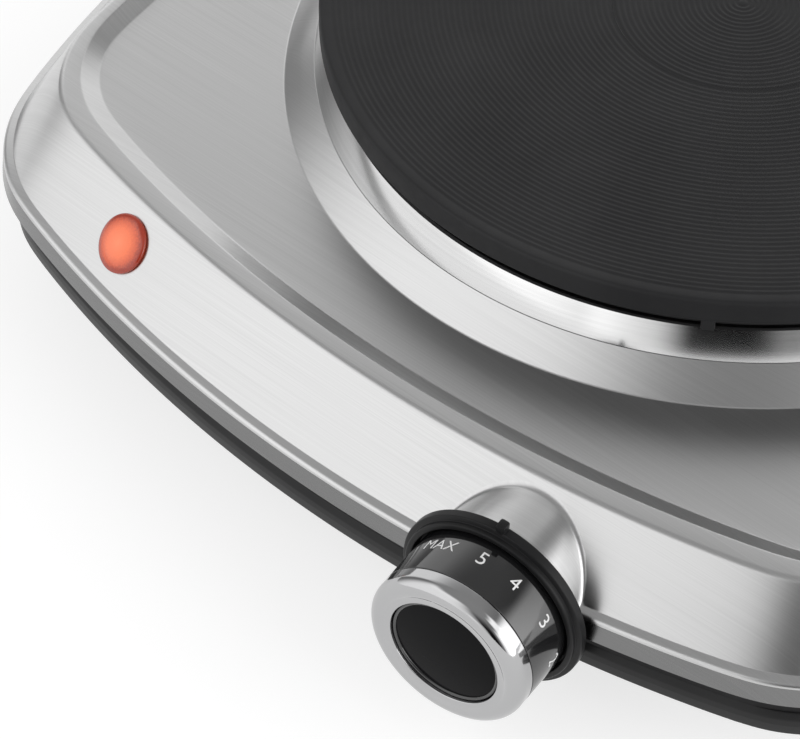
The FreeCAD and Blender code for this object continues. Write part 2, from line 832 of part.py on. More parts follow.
def make_clamp():
    """The stud, bar, washer and nut that draw the plate down, and the heat shield on the bar."""
    stud_frame = shifted(PLATE_FRAME, z=f"{NUT_UNDER} - thread_clearance")
    stud_top = f"({CAVITY_TOP} + cast_floor / 2 - element_clearance)"
    node(cylinder("clamp_stud", "stud_radius", f"{stud_top} - {NUT_UNDER}", stud_frame), "clamp_stud")
    bar_frame = shifted(PLATE_FRAME, z=BAR_UNDER)
    bar_length = f"(2 * ({COLLAR_FOOT} + bar_grip))"
    bar = block("bar_strip", bar_length, "bar_width", "bar_thickness", bar_frame)
    node(cut("clamp_bar", bar, cylinder("bar_hole", STUD_HOLE, "bar_thickness", bar_frame)), "clamp_bar")
    washer_frame = shifted(PLATE_FRAME, z=WASHER_UNDER)
    washer = cylinder("washer_disc", "washer_radius", "washer_thickness", washer_frame)
    washer_hole = cylinder("washer_hole", STUD_HOLE, "washer_thickness", washer_frame)
    node(cut("clamp_washer", washer, washer_hole), "clamp_washer")
    nut_frame = shifted(PLATE_FRAME, z=NUT_UNDER)
    nut = hexagon("nut_hex", "nut_corner", "nut_height", nut_frame)
    thread = cylinder("nut_thread", "stud_radius + thread_clearance", "nut_height", nut_frame)
    node(cut("clamp_nut", nut, thread), "clamp_nut")
    shield_top = f"({BAR_TOP} + sheet)"
    shield = turned(
        "heat_shield",
        [
            (STUD_HOLE, BAR_TOP),
            ("shield_radius", BAR_TOP),
            ("shield_radius", f"{BAR_TOP} + shield_rim"),
            ("shield_radius - sheet", f"{BAR_TOP} + shield_rim"),
            ("shield_radius - sheet", shield_top),
            (STUD_HOLE, shield_top),
        ],
    )
    drill(shield, "shield_ways", "bead_radius + hole_clearance", pin_places(), shield_top, "plate_top")
    cutout_frame = shifted(PLATE_FRAME, y="cutout_place", z=f"{COVER_UNDER} - cutout_height")
    can = cylinder("cutout_can", "cutout_radius", "cutout_height", cutout_frame)
    tabs = block("cutout_tabs", "3 * cutout_radius", "tab_width", "tab_thickness", cutout_frame)
    node(fused("thermal_cutout", can, tabs), "thermal_cutout")


def tray_outline(body, name, height, inset):
    step_in = f"(tray_set_back + {inset})"
    return bowed_square(
        body,
        name,
        height,
        f"{TRAY_HALF} - {inset}",
        f"side_radius - {step_in}",
        f"corner_radius - {step_in}",
    )


def foot_places():
    return [(f"{x} * {FOOT_PLACE}", f"{y} * {FOOT_PLACE}") for x in (-1, 1) for y in (-1, 1)]


def make_base_tray():
    body = new_body("base_tray")
    extruded(body, "Pad", tray_outline(body, "tray_outer", "tray_bottom", "0"), f"{TRAY_TOP} - tray_bottom")
    inside = tray_outline(body, "tray_inner", TRAY_TOP, "tray_wall")
    extruded(body, "Pocket", inside, f"{TRAY_TOP} - {FLOOR_TOP}")
    behind_face = KNOB_OFFSET * FreeCAD.Placement(V(0, 0, -value("sheet + gland_gap")), FreeCAD.Rotation())
    lower = sketch_on(body, "lower_boss", "XZ_Plane", behind_face)
    radius = value("boss_radius")
    drop = value("knob_height - lip_bottom + tray_seam")
    start = math.pi + math.asin(drop / radius)
    arc = Part.ArcOfCircle(Part.Circle(V(0, 0, 0), V(0, 0, 1), radius), start, 3 * math.pi - start)
    lower.addGeometry(arc, False)
    lower.addGeometry(Part.LineSegment(arc.EndPoint, arc.StartPoint), False)
    lower.addConstraint(Sketcher.Constraint("Coincident", 0, 3, -1, 1))
    lower.addConstraint(Sketcher.Constraint("Coincident", 0, 2, 1, 1))
    lower.addConstraint(Sketcher.Constraint("Coincident", 1, 2, 0, 1))
    lower.addConstraint(Sketcher.Constraint("Horizontal", 1))
    bound(lower, "boss_radius", "Radius", 0)
    bound(lower, "lip_bottom - knob_height - tray_seam", "DistanceY", -1, 1, 1, 1)
    extruded(body, "Pad", lower, f"{BOSS_REACH} - {TRAY_HALF} + boss_root", reverse=True)
    neck = circle(sketch_on(body, "neck_way", "XZ_Plane", KNOB_OFFSET), "neck_radius + running_gap")
    extruded(body, "Pocket", neck, "boss_radius")
    drill(body, "screw_ways", "screw_radius + hole_clearance", foot_places(), FLOOR_TOP, "2 * tray_wall")
    inlet = sketch_on(body, "inlet_way", "XZ_Plane")
    circle(inlet, "gland_bore + gland_wall + gland_gap", None, "gland_height")
    extruded(body, "Pocket", inlet, "housing_half")
    vent = sketch_on(body, "vent_slot", height=FLOOR_TOP)
    polygon(
        vent,
        [
            ("vent_place", "-vent_width / 2"),
            ("vent_place + vent_length", "-vent_width / 2"),
            ("vent_place + vent_length", "vent_width / 2"),
            ("vent_place", "vent_width / 2"),
        ],
    )
    slot = extruded(body, "Pocket", vent, "2 * tray_wall")
    ring = body.newObject("PartDesign::PolarPattern", "vent_ring")
    ring.Originals = [slot]
    ring.Axis = (vent, ["N_Axis"])
    ring.Angle = 360
    ring.setExpression("Occurrences", linked("vent_count"))
    body.Tip = ring
    return body


def make_feet():
    """Four feet, each with a screw that draws tray and foot up to a post under the deck."""
    names = {(-1, -1): "front_left", (1, -1): "front_right", (-1, 1): "rear_left", (1, 1): "rear_right"}
    posts = []
    screws = []
    way = "screw_radius + hole_clearance"
    head_bottom = "(foot_recess - screw_head_height)"
    screw_top = f"({FLOOR_TOP} + screw_grip)"
    for (x, y), name in names.items():
        place_x = f"{x} * {FOOT_PLACE}"
        place_y = f"{y} * {FOOT_PLACE}"
        frame = shifted(PLATE_FRAME, place_x, place_y)
        turned(
            f"foot_{name}",
            [
                ("screw_head + hole_clearance", "0"),
                ("foot_radius - foot_taper", "0"),
                ("foot_radius", "tray_bottom"),
                (way, "tray_bottom"),
                (way, "foot_recess"),
                ("screw_head + hole_clearance", "foot_recess"),
            ],
            frame,
        )
        post_frame = shifted(PLATE_FRAME, place_x, place_y, FLOOR_TOP)
        rod = cylinder(f"post_rod_{name}", "post_radius", f"{DECK_UNDER} - {FLOOR_TOP}", post_frame)
        thread = cylinder(
            f"post_thread_{name}", "screw_radius + thread_clearance", "screw_grip + screw_radius", post_frame
        )
        posts.append(cut(f"post_{name}", rod, thread))
        head_frame = shifted(PLATE_FRAME, place_x, place_y, head_bottom)
        head = cylinder(f"screw_head_{name}", "screw_head", "screw_head_height", head_frame)
        shank = cylinder(f"screw_shank_{name}", "screw_radius", f"{screw_top} - {head_bottom}", head_frame)
        screws.append(fused(f"screw_{name}", head, shank))
    group("posts", posts)
    group("foot_screws", screws)


def knob_at(depth):
    """The knob's frame moved out along its axis by an expression."""
    return shifted(KNOB_FRAME, z=depth)


def make_knob():
    """The dial drum, its chrome bezel, cap and clip, which all turn with the thermostat's shaft."""
    drum = turned(
        "dial_drum",
        [
            ("shaft_radius + hub_bore_gap", HUB_REAR),
            ("drum_hub", HUB_REAR),
            ("drum_hub", f"{DRUM_FRONT} - drum_wall"),
            ("drum_radius - drum_wall", f"{DRUM_FRONT} - drum_wall"),
            ("drum_radius - drum_wall", DRUM_REAR),
            ("drum_radius", DRUM_REAR),
            ("drum_radius", DRUM_FRONT),
            ("shaft_radius + hub_bore_gap", DRUM_FRONT),
        ],
        KNOB_FRAME,
    )
    key = sketch_on(drum, "bore_key", height=DRUM_FRONT)
    polygon(
        key,
        [
            ("-shaft_radius", "shaft_flat + hub_bore_gap"),
            ("shaft_radius", "shaft_flat + hub_bore_gap"),
            ("shaft_radius", "(drum_hub + shaft_radius) / 2"),
            ("-shaft_radius", "(drum_hub + shaft_radius) / 2"),
        ],
    )
    extruded(drum, "Pad", key, "flat_length - 2 * running_gap", reverse=True)
    bezel = turned(
        "knob_bezel",
        [
            ("bezel_opening", DRUM_FRONT),
            ("drum_radius", DRUM_FRONT),
            ("drum_radius", KNOB_FRONT),
            (f"{BEZEL_RING} - bezel_flat", KNOB_FRONT),
            ("bezel_opening", f"{KNOB_FRONT} - bezel_dish"),
        ],
        KNOB_FRAME,
    )
    edge_radius = value("drum_radius")
    edge_height = value(KNOB_FRONT)
    rounded(
        bezel,
        bezel.Tip,
        "bezel_edge",
        "bezel_round",
        lambda radius, height: near(radius, edge_radius) and near(height, edge_height),
    )
    cap_radius = "(bezel_opening - cap_gap)"
    cap_edge = f"({KNOB_FRONT} - bezel_dish - cap_recess)"
    dome = []
    for step in range(DOME_STEPS):
        share = step / DOME_STEPS
        dome.append((f"{cap_radius} * {1 - share}", f"{cap_edge} + cap_crown * {1 - (1 - share) ** 2}"))
    turned(
        "knob_cap",
        [("0", DRUM_FRONT), (cap_radius, DRUM_FRONT)] + dome + [("0", f"{cap_edge} + cap_crown")],
        KNOB_FRAME,
    )
    clip = turned(
        "knob_clip",
        [
            ("drum_hub + thread_clearance", f"{HUB_REAR} + running_gap"),
            ("drum_hub + clip_wall", f"{HUB_REAR} + running_gap"),
            ("drum_hub + clip_wall", f"{HUB_REAR} + running_gap + clip_width"),
            ("drum_hub + thread_clearance", f"{HUB_REAR} + running_gap + clip_width"),
        ],
        KNOB_FRAME,
    )
    gap = sketch_on(clip, "clip_gap", height=DRUM_FRONT)
    polygon(
        gap,
        [
            ("-clip_wall", "0"),
            ("clip_wall", "0"),
            ("clip_wall", "2 * drum_hub"),
            ("-clip_wall", "2 * drum_hub"),
        ],
    )
    extruded(clip, "Pocket", gap, DRUM_FRONT)


def make_skirt():
    """The fixed black ring behind the dial, with the small pointer on top."""
    lip = "(drum_radius + running_gap)"
    skirt = turned(
        "dial_skirt",
        [
            ("bushing_radius + thread_clearance", "0"),
            ("skirt_radius", "0"),
            ("skirt_radius", "skirt_flange"),
            ("skirt_radius - skirt_step", "skirt_flange"),
            ("skirt_radius - skirt_step", "skirt_depth"),
            (lip, "skirt_depth"),
            (lip, "skirt_web"),
            ("bushing_radius + thread_clearance", "skirt_web"),
        ],
        KNOB_FRAME,
    )
    tab = sketch_on(skirt, "pointer_outline")
    polygon(
        tab,
        [
            ("-pointer_width / 2", "skirt_radius - skirt_step"),
            ("pointer_width / 2", "skirt_radius - skirt_step"),
            ("pointer_width / 2", "skirt_radius + pointer_height"),
            ("-pointer_width / 2", "skirt_radius + pointer_height"),
        ],
    )
    extruded(skirt, "Pad", tab, "skirt_flange")


def make_thermostat():
    """The thermostat: a case on a threaded bushing, its shaft and cam, contact leaf and tabs."""
    case_front = "(-sheet - neck_length)"
    case_rear = f"({case_front} - case_length)"
    tail = f"({case_rear} - case_lid)"
    case = block("case_block", "case_width", "case_height", "case_length", knob_at(case_rear))
    neck = cylinder("case_neck", "neck_radius", "neck_length", knob_at(case_front))
    bushing = cylinder("case_bushing", "bushing_radius", f"{BUSHING_REACH} + sheet", knob_at("-sheet"))
    bore_length = f"{BUSHING_REACH} - {case_rear}"
    bore = cylinder("case_bore", "shaft_radius + shaft_clearance", bore_length, knob_at(case_rear))
    cavity = cylinder("case_hollow", "case_cavity", "case_length - case_front_wall", knob_at(case_rear))
    node(cut("thermostat_body", fused("case_solid", case, neck, bushing), bore, cavity), "thermostat_body")
    lid = block("thermostat_back", "case_width", "case_height", "case_lid", knob_at(tail))
    node(lid, "thermostat_back")
    cam_front = f"({case_front} - case_front_wall - running_gap)"
    cam_back = f"({cam_front} - cam_width)"
    rod_start = f"({cam_back} - running_gap)"
    shaft_end = f"({DRUM_FRONT} - 2 * running_gap)"
    rod = cylinder("shaft_rod", "shaft_radius", f"{shaft_end} - {rod_start}", knob_at(rod_start))
    flat_frame = shifted(KNOB_FRAME, "0", "shaft_flat + shaft_radius", f"{shaft_end} - flat_length")
    flat = block("shaft_flat_cut", "3 * shaft_radius", "2 * shaft_radius", "flat_length", flat_frame)
    node(cut("thermostat_shaft", rod, flat), "thermostat_shaft")
    disc = cylinder("cam_disc", "cam_radius", "cam_width", knob_at(cam_back))
    lobe_frame = shifted(KNOB_FRAME, "cam_lobe", "0", cam_back)
    lobe = cylinder("cam_lobe_disc", "cam_radius - cam_lobe / 2", "cam_width", lobe_frame)
    cam_bore = cylinder("cam_bore", "shaft_radius + shaft_clearance", "cam_width", knob_at(cam_back))
    node(cut("thermostat_cam", fused("cam_solid", disc, lobe), cam_bore), "thermostat_cam")
    leaf = block("contact_leaf", "leaf_width", "leaf_thickness", "leaf_length", knob_at(case_rear))
    node(leaf, "contact_leaf")
    tabs = []
    for side in (-1, 1):
        tab_frame = shifted(KNOB_FRAME, f"{side} * tab_spread", "0", f"{tail} - tab_length")
        tabs.append(block(f"tab_{side + 1}", "tab_width", "tab_thickness", "tab_length", tab_frame))
    group("thermostat_tabs", tabs)
    nut_frame = knob_at("skirt_web")
    nut = hexagon("bushing_hex", "bushing_nut_corner", "bushing_nut_height", nut_frame)
    thread = cylinder("bushing_thread", "bushing_radius + thread_clearance", "bushing_nut_height", nut_frame)
    node(cut("thermostat_nut", nut, thread), "thermostat_nut")


def make_lamp():
    """The indicator lamp: a domed lens with a hollow stem, its bulb, socket and spring clip."""
    flange = "(lamp_seat + lamp_flange)"
    dome = []
    for step in range(DOME_STEPS):
        turn = math.pi / 2 * step / DOME_STEPS
        dome.append((f"lamp_radius * {math.cos(turn)}", f"{flange} + lamp_dome * {math.sin(turn)}"))
    turned(
        "lamp_lens",
        [
            ("lamp_stem - lamp_wall", "-lamp_stem_length"),
            ("lamp_stem", "-lamp_stem_length"),
            ("lamp_stem", "lamp_seat"),
            ("lamp_radius", "lamp_seat"),
        ]
        + dome
        + [("0", f"{flange} + lamp_dome"), ("0", flange), ("lamp_stem - lamp_wall", flange)],
        LAMP_FRAME,
    )
    clip_face = "(-sheet - lamp_clip_gap)"
    turned(
        "lamp_clip",
        [
            ("lamp_stem + thread_clearance", f"{clip_face} - lamp_clip_sheet"),
            ("lamp_stem + lamp_clip_width", f"{clip_face} - lamp_clip_sheet"),
            ("lamp_stem + lamp_clip_width", clip_face),
            ("lamp_stem + thread_clearance", clip_face),
        ],
        LAMP_FRAME,
    )
    turned(
        "lamp_socket",
        [
            ("0", "-lamp_stem_length - socket_length"),
            ("lamp_stem", "-lamp_stem_length - socket_length"),
            ("lamp_stem", "-lamp_stem_length"),
            ("0", "-lamp_stem_length"),
        ],
        LAMP_FRAME,
    )
    tip = "(bulb_length - lamp_stem_length)"
    turned(
        "lamp_bulb",
        [
            ("0", "-lamp_stem_length"),
            ("bulb_radius", "-lamp_stem_length"),
            ("bulb_radius", f"{tip} - bulb_radius"),
            ("bulb_radius / 2", tip),
            ("0", tip),
        ],
        LAMP_FRAME,
    )


def make_inlet():
    """The rear cord gland, the cord clamp, the terminal block and the earth tab."""
    gland_frame = PLATE_FRAME * FreeCAD.Placement(
        V(0, value(TRAY_HALF), value("gland_height")),
        FreeCAD.Rotation(V(1, 0, 0), V(0, 0, -1), V(0, 1, 0), "ZXY"),
    )
    tube = "(gland_bore + gland_wall)"
    inner_face = "(-tray_wall - gland_gap)"
    turned(
        "cord_gland",
        [
            ("gland_bore", f"{inner_face} - gland_flange_depth - gland_tail"),
            (tube, f"{inner_face} - gland_flange_depth - gland_tail"),
            (tube, f"{inner_face} - gland_flange_depth"),
            (f"{tube} + gland_wall / 2", f"{inner_face} - gland_flange_depth"),
            (f"{tube} + gland_wall / 2", inner_face),
            (tube, inner_face),
            (tube, "gland_gap"),
            ("gland_flange", "gland_gap"),
            ("gland_flange", "gland_gap + gland_flange_depth"),
            ("gland_bore", "gland_gap + gland_flange_depth"),
        ],
        gland_frame,
    )
    base_frame = shifted(PLATE_FRAME, y=CLAMP_PLACE, z=FLOOR_TOP)
    saddle = block("saddle_block", "clamp_width", "clamp_depth", f"gland_height - {FLOOR_TOP}", base_frame)
    lying = FreeCAD.Placement(V(0, 0, 0), FreeCAD.Rotation(V(1, 0, 0), -90))
    channel_frame = shifted(PLATE_FRAME, "0", f"{CLAMP_PLACE} - clamp_depth", "gland_height") * lying
    channel = cylinder("saddle_channel", "clamp_channel", "2 * clamp_depth", channel_frame)
    screw_ways = []
    cover_ways = []
    screws = []
    bridge_bottom = "(gland_height + thread_clearance)"
    bridge_height = "(clamp_channel + clamp_cover)"
    for side in (-1, 1):
        place_x = f"{side} * clamp_screw_spread"
        grip = "(screw_grip / 2)"
        way_frame = shifted(PLATE_FRAME, place_x, CLAMP_PLACE, f"gland_height - {grip}")
        way_length = f"{grip} + {bridge_height} + screw_radius"
        way = f"clamp_way_{side + 1}"
        screw_ways.append(cylinder(way, "screw_radius + thread_clearance", way_length, way_frame))
        cover_ways.append(cylinder(f"{way}_top", "screw_radius + thread_clearance", way_length, way_frame))
        shank_frame = shifted(PLATE_FRAME, place_x, CLAMP_PLACE, f"gland_height - {grip} + hole_clearance")
        shank_length = f"{grip} - hole_clearance + thread_clearance + {bridge_height} + screw_head_height"
        shank = cylinder(f"clamp_shank_{side + 1}", "screw_radius", shank_length, shank_frame)
        head_frame = shifted(PLATE_FRAME, place_x, CLAMP_PLACE, f"{bridge_bottom} + {bridge_height}")
        head_radius = "screw_head - hole_clearance"
        head = cylinder(f"clamp_head_{side + 1}", head_radius, "screw_head_height", head_frame)
        screws.append(fused(f"clamp_screw_{side + 1}", shank, head))
    node(cut("cord_saddle", saddle, channel, *screw_ways), "cord_saddle")
    bridge_frame = shifted(PLATE_FRAME, y=CLAMP_PLACE, z=bridge_bottom)
    bridge = block("bridge_block", "clamp_width", "clamp_depth", bridge_height, bridge_frame)
    bridge_channel = cylinder("bridge_channel", "clamp_channel", "2 * clamp_depth", channel_frame)
    node(cut("cord_bridge", bridge, bridge_channel, *cover_ways), "cord_bridge")
    group("cord_clamp_screws", screws)
    strip_frame = shifted(PLATE_FRAME, y=BLOCK_PLACE, z=FLOOR_TOP)
    node(block("terminal_block", "block_width", "block_depth", "block_height", strip_frame), "terminal_block")
    terminals = []
    for index in (-1, 0, 1):
        head_frame = shifted(strip_frame, f"{index} * block_pitch", "0", "block_height")
        terminals.append(cylinder(f"terminal_{index + 1}", "block_screw", "block_screw_height", head_frame))
    group("terminal_screws", terminals)
    earth_frame = shifted(PLATE_FRAME, "earth_place_x", BLOCK_PLACE, FLOOR_TOP)
    node(block("earth_tab", "earth_width", "earth_length", "sheet", earth_frame), "earth_tab")
    earth_head = shifted(earth_frame, z="sheet")
    node(cylinder("earth_screw", "screw_head", "screw_head_height", earth_head), "earth_screw")


def lead(label, points):
    """An insulated lead: straight runs joined by tangent arcs as large as the runs allow."""
    edges = []
    start = points[0]
    for before, corner, after in zip(points, points[1:], points[2:]):
        arriving = (corner - before).normalize()
        leaving = (after - corner).normalize()
        shorter = min((corner - before).Length, (after - corner).Length)
        trim = BEND_SHARE * shorter
        entry = corner - arriving * trim
        exit_point = corner + leaving * trim
        half_turn = arriving.getAngle(leaving) / 2
        inward = (leaving - arriving).normalize()
        radius = trim / math.tan(half_turn)
        middle = corner + inward * (radius / math.cos(half_turn) - radius)
        edges.append(Part.LineSegment(start, entry).toShape())
        edges.append(Part.Arc(entry, middle, exit_point).toShape())
        start = exit_point
    edges.append(Part.LineSegment(start, points[-1]).toShape())
    path = Part.Wire(edges)
    heading = points[1] - points[0]
    section = Part.Wire(Part.Circle(points[0], heading, value("lead_radius")).toShape())
    thing = doc.addObject("Part::Feature", label)
    thing.Shape = path.makePipeShell([section], True, False)
    return node(thing, label)


def make_leads():
    """Leads from the terminal block to the thermostat, the element pins and the lamp."""
    gap = value("lead_gap")
    floor = value(FLOOR_TOP)
    block_front = AXIS_Y + value(f"{BLOCK_PLACE} - block_depth / 2") - gap
    middle_height = floor + value("block_height") / 2
    pitch = value("block_pitch")
    tail = value("-sheet - neck_length - case_length - case_lid - tab_length") - gap
    spread = value("tab_spread")
    pin_end = value(f"{BAR_UNDER} - pin_drop") - gap
    pin_y = AXIS_Y - value("pin_offset")
    pin_x = value("pin_pitch")
    right_tab = KNOB_FRAME.multVec(V(spread, 0, tail))
    left_tab = KNOB_FRAME.multVec(V(-spread, 0, tail))
    inward = KNOB_FRAME.Rotation.multVec(V(0, 0, -1))
    run = value("lead_run")
    lead(
        "live_lead",
        [
            V(pitch, block_front, middle_height),
            V(pitch, block_front - run, middle_height),
            V(right_tab.x + inward.x * run, 0, right_tab.z - value("lead_radius")),
            right_tab + inward * run,
            right_tab,
        ],
    )
    lead(
        "load_lead",
        [left_tab, left_tab + inward * (run / 2), V(pin_x, pin_y, left_tab.z), V(pin_x, pin_y, pin_end)],
    )
    lead(
        "neutral_lead",
        [
            V(0, block_front, middle_height),
            V(0, block_front - run, middle_height),
            V(-pin_x, pin_y + run / 2, middle_height),
            V(-pin_x, pin_y, middle_height + gap),
            V(-pin_x, pin_y, pin_end),
        ],
    )
    socket = LAMP_FRAME.multVec(V(0, 0, -value("lamp_stem_length + socket_length") - gap))
    behind = LAMP_FRAME.Rotation.multVec(V(0, 0, -1))
    drop = socket + behind * (run / 3)
    lead(
        "lamp_lead",
        [
            socket,
            drop,
            V(-value("lead_swing"), AXIS_Y - run, middle_height),
            V(-pitch * 2, block_front - run, middle_height),
            V(-pitch, block_front - run / 2, middle_height),
            V(-pitch, block_front, middle_height),
        ],
    )


make_top_housing()
make_trim_ring()
make_hot_plate()
make_heating()
make_clamp()
make_base_tray()
make_feet()
make_knob()
make_skirt()
make_thermostat()
make_lamp()
make_inlet()
make_leads()
doc.recompute()

faults = [thing.Label for thing in doc.Objects if "Invalid" in thing.State or "Error" in thing.State]
for thing in NODES:
    if thing.Shape.isNull() or not thing.Shape.isValid() or thing.Shape.Volume <= 0:
        faults.append(thing.Label)
if faults:
    raise RuntimeError("these failed to build: " + ", ".join(faults))

os.makedirs("parts", exist_ok=True)
for thing in NODES:
    thing.Shape.exportStep(f"parts/{thing.Label}.step")
    print(thing.Label, len(thing.Shape.Solids), round(thing.Shape.Volume, 1))
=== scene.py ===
import math

import bpy
from mathutils import Matrix, Vector
from mathutils.bvhtree import BVHTree


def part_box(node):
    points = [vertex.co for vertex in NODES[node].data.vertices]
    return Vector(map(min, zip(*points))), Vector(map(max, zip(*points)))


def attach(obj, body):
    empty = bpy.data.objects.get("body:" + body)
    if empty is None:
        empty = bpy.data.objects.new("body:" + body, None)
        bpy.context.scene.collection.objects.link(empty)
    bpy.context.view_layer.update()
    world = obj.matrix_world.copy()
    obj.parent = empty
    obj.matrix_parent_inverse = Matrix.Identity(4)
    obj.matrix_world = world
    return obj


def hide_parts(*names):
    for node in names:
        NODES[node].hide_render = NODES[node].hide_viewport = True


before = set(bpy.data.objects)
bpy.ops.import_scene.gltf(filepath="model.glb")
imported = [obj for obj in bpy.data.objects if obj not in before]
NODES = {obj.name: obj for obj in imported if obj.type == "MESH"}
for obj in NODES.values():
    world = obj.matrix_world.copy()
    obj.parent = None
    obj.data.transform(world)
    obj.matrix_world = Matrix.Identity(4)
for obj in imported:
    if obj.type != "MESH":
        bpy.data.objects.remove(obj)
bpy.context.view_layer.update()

MM = 0.001
BRUSHING = "brushing"

# Plate, from the frame; sizes are in millimetres where nothing else is said
PLATE_LOW, PLATE_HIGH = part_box("hot_plate")
AXIS_Y = (PLATE_LOW.y + PLATE_HIGH.y) / 2 / MM
PLATE_TOP = PLATE_HIGH.z / MM
PLATE_RADIUS = (PLATE_HIGH.x - PLATE_LOW.x) / 2 / MM

# Housing sizes
SHEET = 0.8
LIP_HALF, LIP_BOW, LIP_CORNER = 141.4, 330, 41
LIP_BOTTOM, LIP_TOP = 28.8, 33.75
RIM_TOP, DECK = 50.0, 47.5
COLLAR_OUTER, COLLAR_OPENING, COLLAR_TOP, COLLAR_EDGE = 105.0, 92.6, 53.9, 0.7

# Knob's place: the boss stands a little proud of the bowed lip
KNOB_X, KNOB_HEIGHT, KNOB_YAW = 48.6, 31.1, math.radians(7)
BOSS_PROUD = 0.35
BOSS_REACH = LIP_HALF - LIP_BOW * (1 - math.cos(math.asin(KNOB_X / LIP_BOW))) + BOSS_PROUD
BUSHING_HOLE = 4.95

# Lens sizes
LENS_RADIUS, LENS_SEAT, LENS_FLANGE, LENS_DOME = 6.6, 0.1, 0.4, 1.4
BARREL_RADIUS, BARREL_BORE, BARREL_LENGTH, BARREL_END = 5.4, 4.5, 8.0, 0.4


def knob_matrix():
    """Knob space, in millimetres: x to the right, y up, z out of the front along the knob's axis."""
    right = Vector((math.cos(KNOB_YAW), math.sin(KNOB_YAW), 0))
    out = Vector((math.sin(KNOB_YAW), -math.cos(KNOB_YAW), 0))
    place = Matrix((right, (0, 0, 1), out)).transposed().to_4x4()
    place.translation = Vector((KNOB_X, AXIS_Y - BOSS_REACH, KNOB_HEIGHT))
    return place


KNOB = knob_matrix()
PLATE = Matrix.Translation((0, AXIS_Y, 0))

# Mesh helpers
ON_AXIS = 1e-6
WELD_DIGITS = 5
BEND_STEPS, BEND_SHARE = 6, 0.48


def piece(name, verts, faces, body, slot, material, stands_for=(), place=Matrix(), crease=35, sheet=None):
    """A smooth-shaded mesh from millimetre points, which rides a body and takes a material; its slot is not
    used.

    A sheet piece has a place on its flat sheet for each point, which its brushing follows.
    """
    mesh = bpy.data.meshes.new(name)
    mesh.from_pydata([(place @ Vector(v)) * MM for v in verts], [], faces)
    if sheet:
        layer = mesh.uv_layers.new(name=BRUSHING)
        for loop in mesh.loops:
            layer.data[loop.index].uv = Vector(sheet[loop.vertex_index]) * MM
    mesh.shade_smooth()
    mesh.set_sharp_from_angle(angle=math.radians(crease))
    mesh.materials.append(material)
    thing = bpy.data.objects.new(name, mesh)
    bpy.context.scene.collection.objects.link(thing)
    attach(thing, body)
    if stands_for:
        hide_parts(*stands_for)
    return thing


def softened(points, steps=BEND_STEPS):
    """A path of points, each with a bend radius last, with its corners rounded by smooth curves."""
    path = []
    count = len(points)
    for index, point in enumerate(points):
        here, bend = Vector(point[:-1]), point[-1]
        if bend == 0 or index in (0, count - 1):
            path.append(here)
            continue
        before = Vector(points[index - 1][:-1]) - here
        after = Vector(points[index + 1][:-1]) - here
        length_before = math.hypot(before[0], before[1])
        length_after = math.hypot(after[0], after[1])
        cosine = (before[0] * after[0] + before[1] * after[1]) / (length_before * length_after)
        half_angle = math.acos(max(-1, min(1, cosine))) / 2
        reach = min(bend / math.tan(half_angle), BEND_SHARE * length_before, BEND_SHARE * length_after)
        start = here + before * (reach / length_before)
        end = here + after * (reach / length_after)
        for step in range(steps + 1):
            path.append(bent(start, here, end, step / steps))
    return path


def bent(start, corner, end, t):
    """A place along the curve that leaves its start towards a corner and comes to its end from there."""
    return start * (1 - t) ** 2 + corner * (2 * t * (1 - t)) + end * t**2


def spin(profile, segments):
    """Vertices and faces of a profile of (radius, height) points turned about its own axis."""
    verts, faces, rings = [], [], []
    for radius, height in profile:
        if radius < ON_AXIS:
            rings.append([len(verts)])
            verts.append((0, 0, height))
            continue
        rings.append(list(range(len(verts), len(verts) + segments)))
        for step in range(segments):
            turn = 2 * math.pi * step / segments
            verts.append((radius * math.cos(turn), radius * math.sin(turn), height))
    for lower, upper in zip(rings, rings[1:]):
        for step in range(segments):
            following = (step + 1) % segments
            if len(lower) == 1 and len(upper) == 1:
                continue
            if len(lower) == 1:
                faces.append((lower[0], upper[following], upper[step]))
            elif len(upper) == 1:
                faces.append((lower[step], lower[following], upper[0]))
            else:
                faces.append((lower[step], lower[following], upper[following], upper[step]))
    return verts, faces


def lofted(rings):
    """Vertices and faces of closed rings joined in order, with the last one joined to the first."""
    count, total = len(rings[0]), len(rings)
    faces = []
    for level in range(total):
        low, high = level * count, (level + 1) % total * count
        for step in range(count):
            following = (step + 1) % count
            faces.append((low + step, low + following, high + following, high + step))
    return [point for ring in rings for point in ring], faces


def rounded_block(size, bend, cuts=5):
    """A box about the origin with rounded edges, each face divided by a number of cuts."""
    half = [length / 2 for length in size]
    verts, faces = [], []
    for axis in range(3):
        for sign in (-1, 1):
            first = len(verts)
            for row in range(cuts + 1):
                for column in range(cuts + 1):
                    point = [0.0, 0.0, 0.0]
                    point[axis] = sign
                    point[(axis + 1) % 3] = sign * math.tan(math.pi / 4 * (2 * row / cuts - 1))
                    point[(axis + 2) % 3] = math.tan(math.pi / 4 * (2 * column / cuts - 1))
                    spot = Vector(p * h for p, h in zip(point, half))
                    core = Vector(max(bend - h, min(h - bend, c)) for c, h in zip(spot, half))
                    away = spot - core
                    verts.append(core + away.normalized() * bend if away.length > 0 else spot)
            for row in range(cuts):
                for column in range(cuts):
                    corner = first + row * (cuts + 1) + column
                    faces.append((corner, corner + cuts + 1, corner + cuts + 2, corner + 1))
    return welded(verts, faces)


def welded(verts, faces):
    """The same faces with points that share a place made one."""
    places, kept, order = {}, [], []
    for v in verts:
        key = tuple(round(c, WELD_DIGITS) for c in v)
        if key not in places:
            places[key] = len(kept)
            kept.append(v)
        order.append(places[key])
    return kept, [tuple(order[v] for v in face) for face in faces]


def turned_sheet(verts, radius):
    """Places on a flat sheet for turned points: along the turn, and out and up across it."""
    return [(math.atan2(y, x) * radius, math.hypot(x, y) + z) for x, y, z in verts]


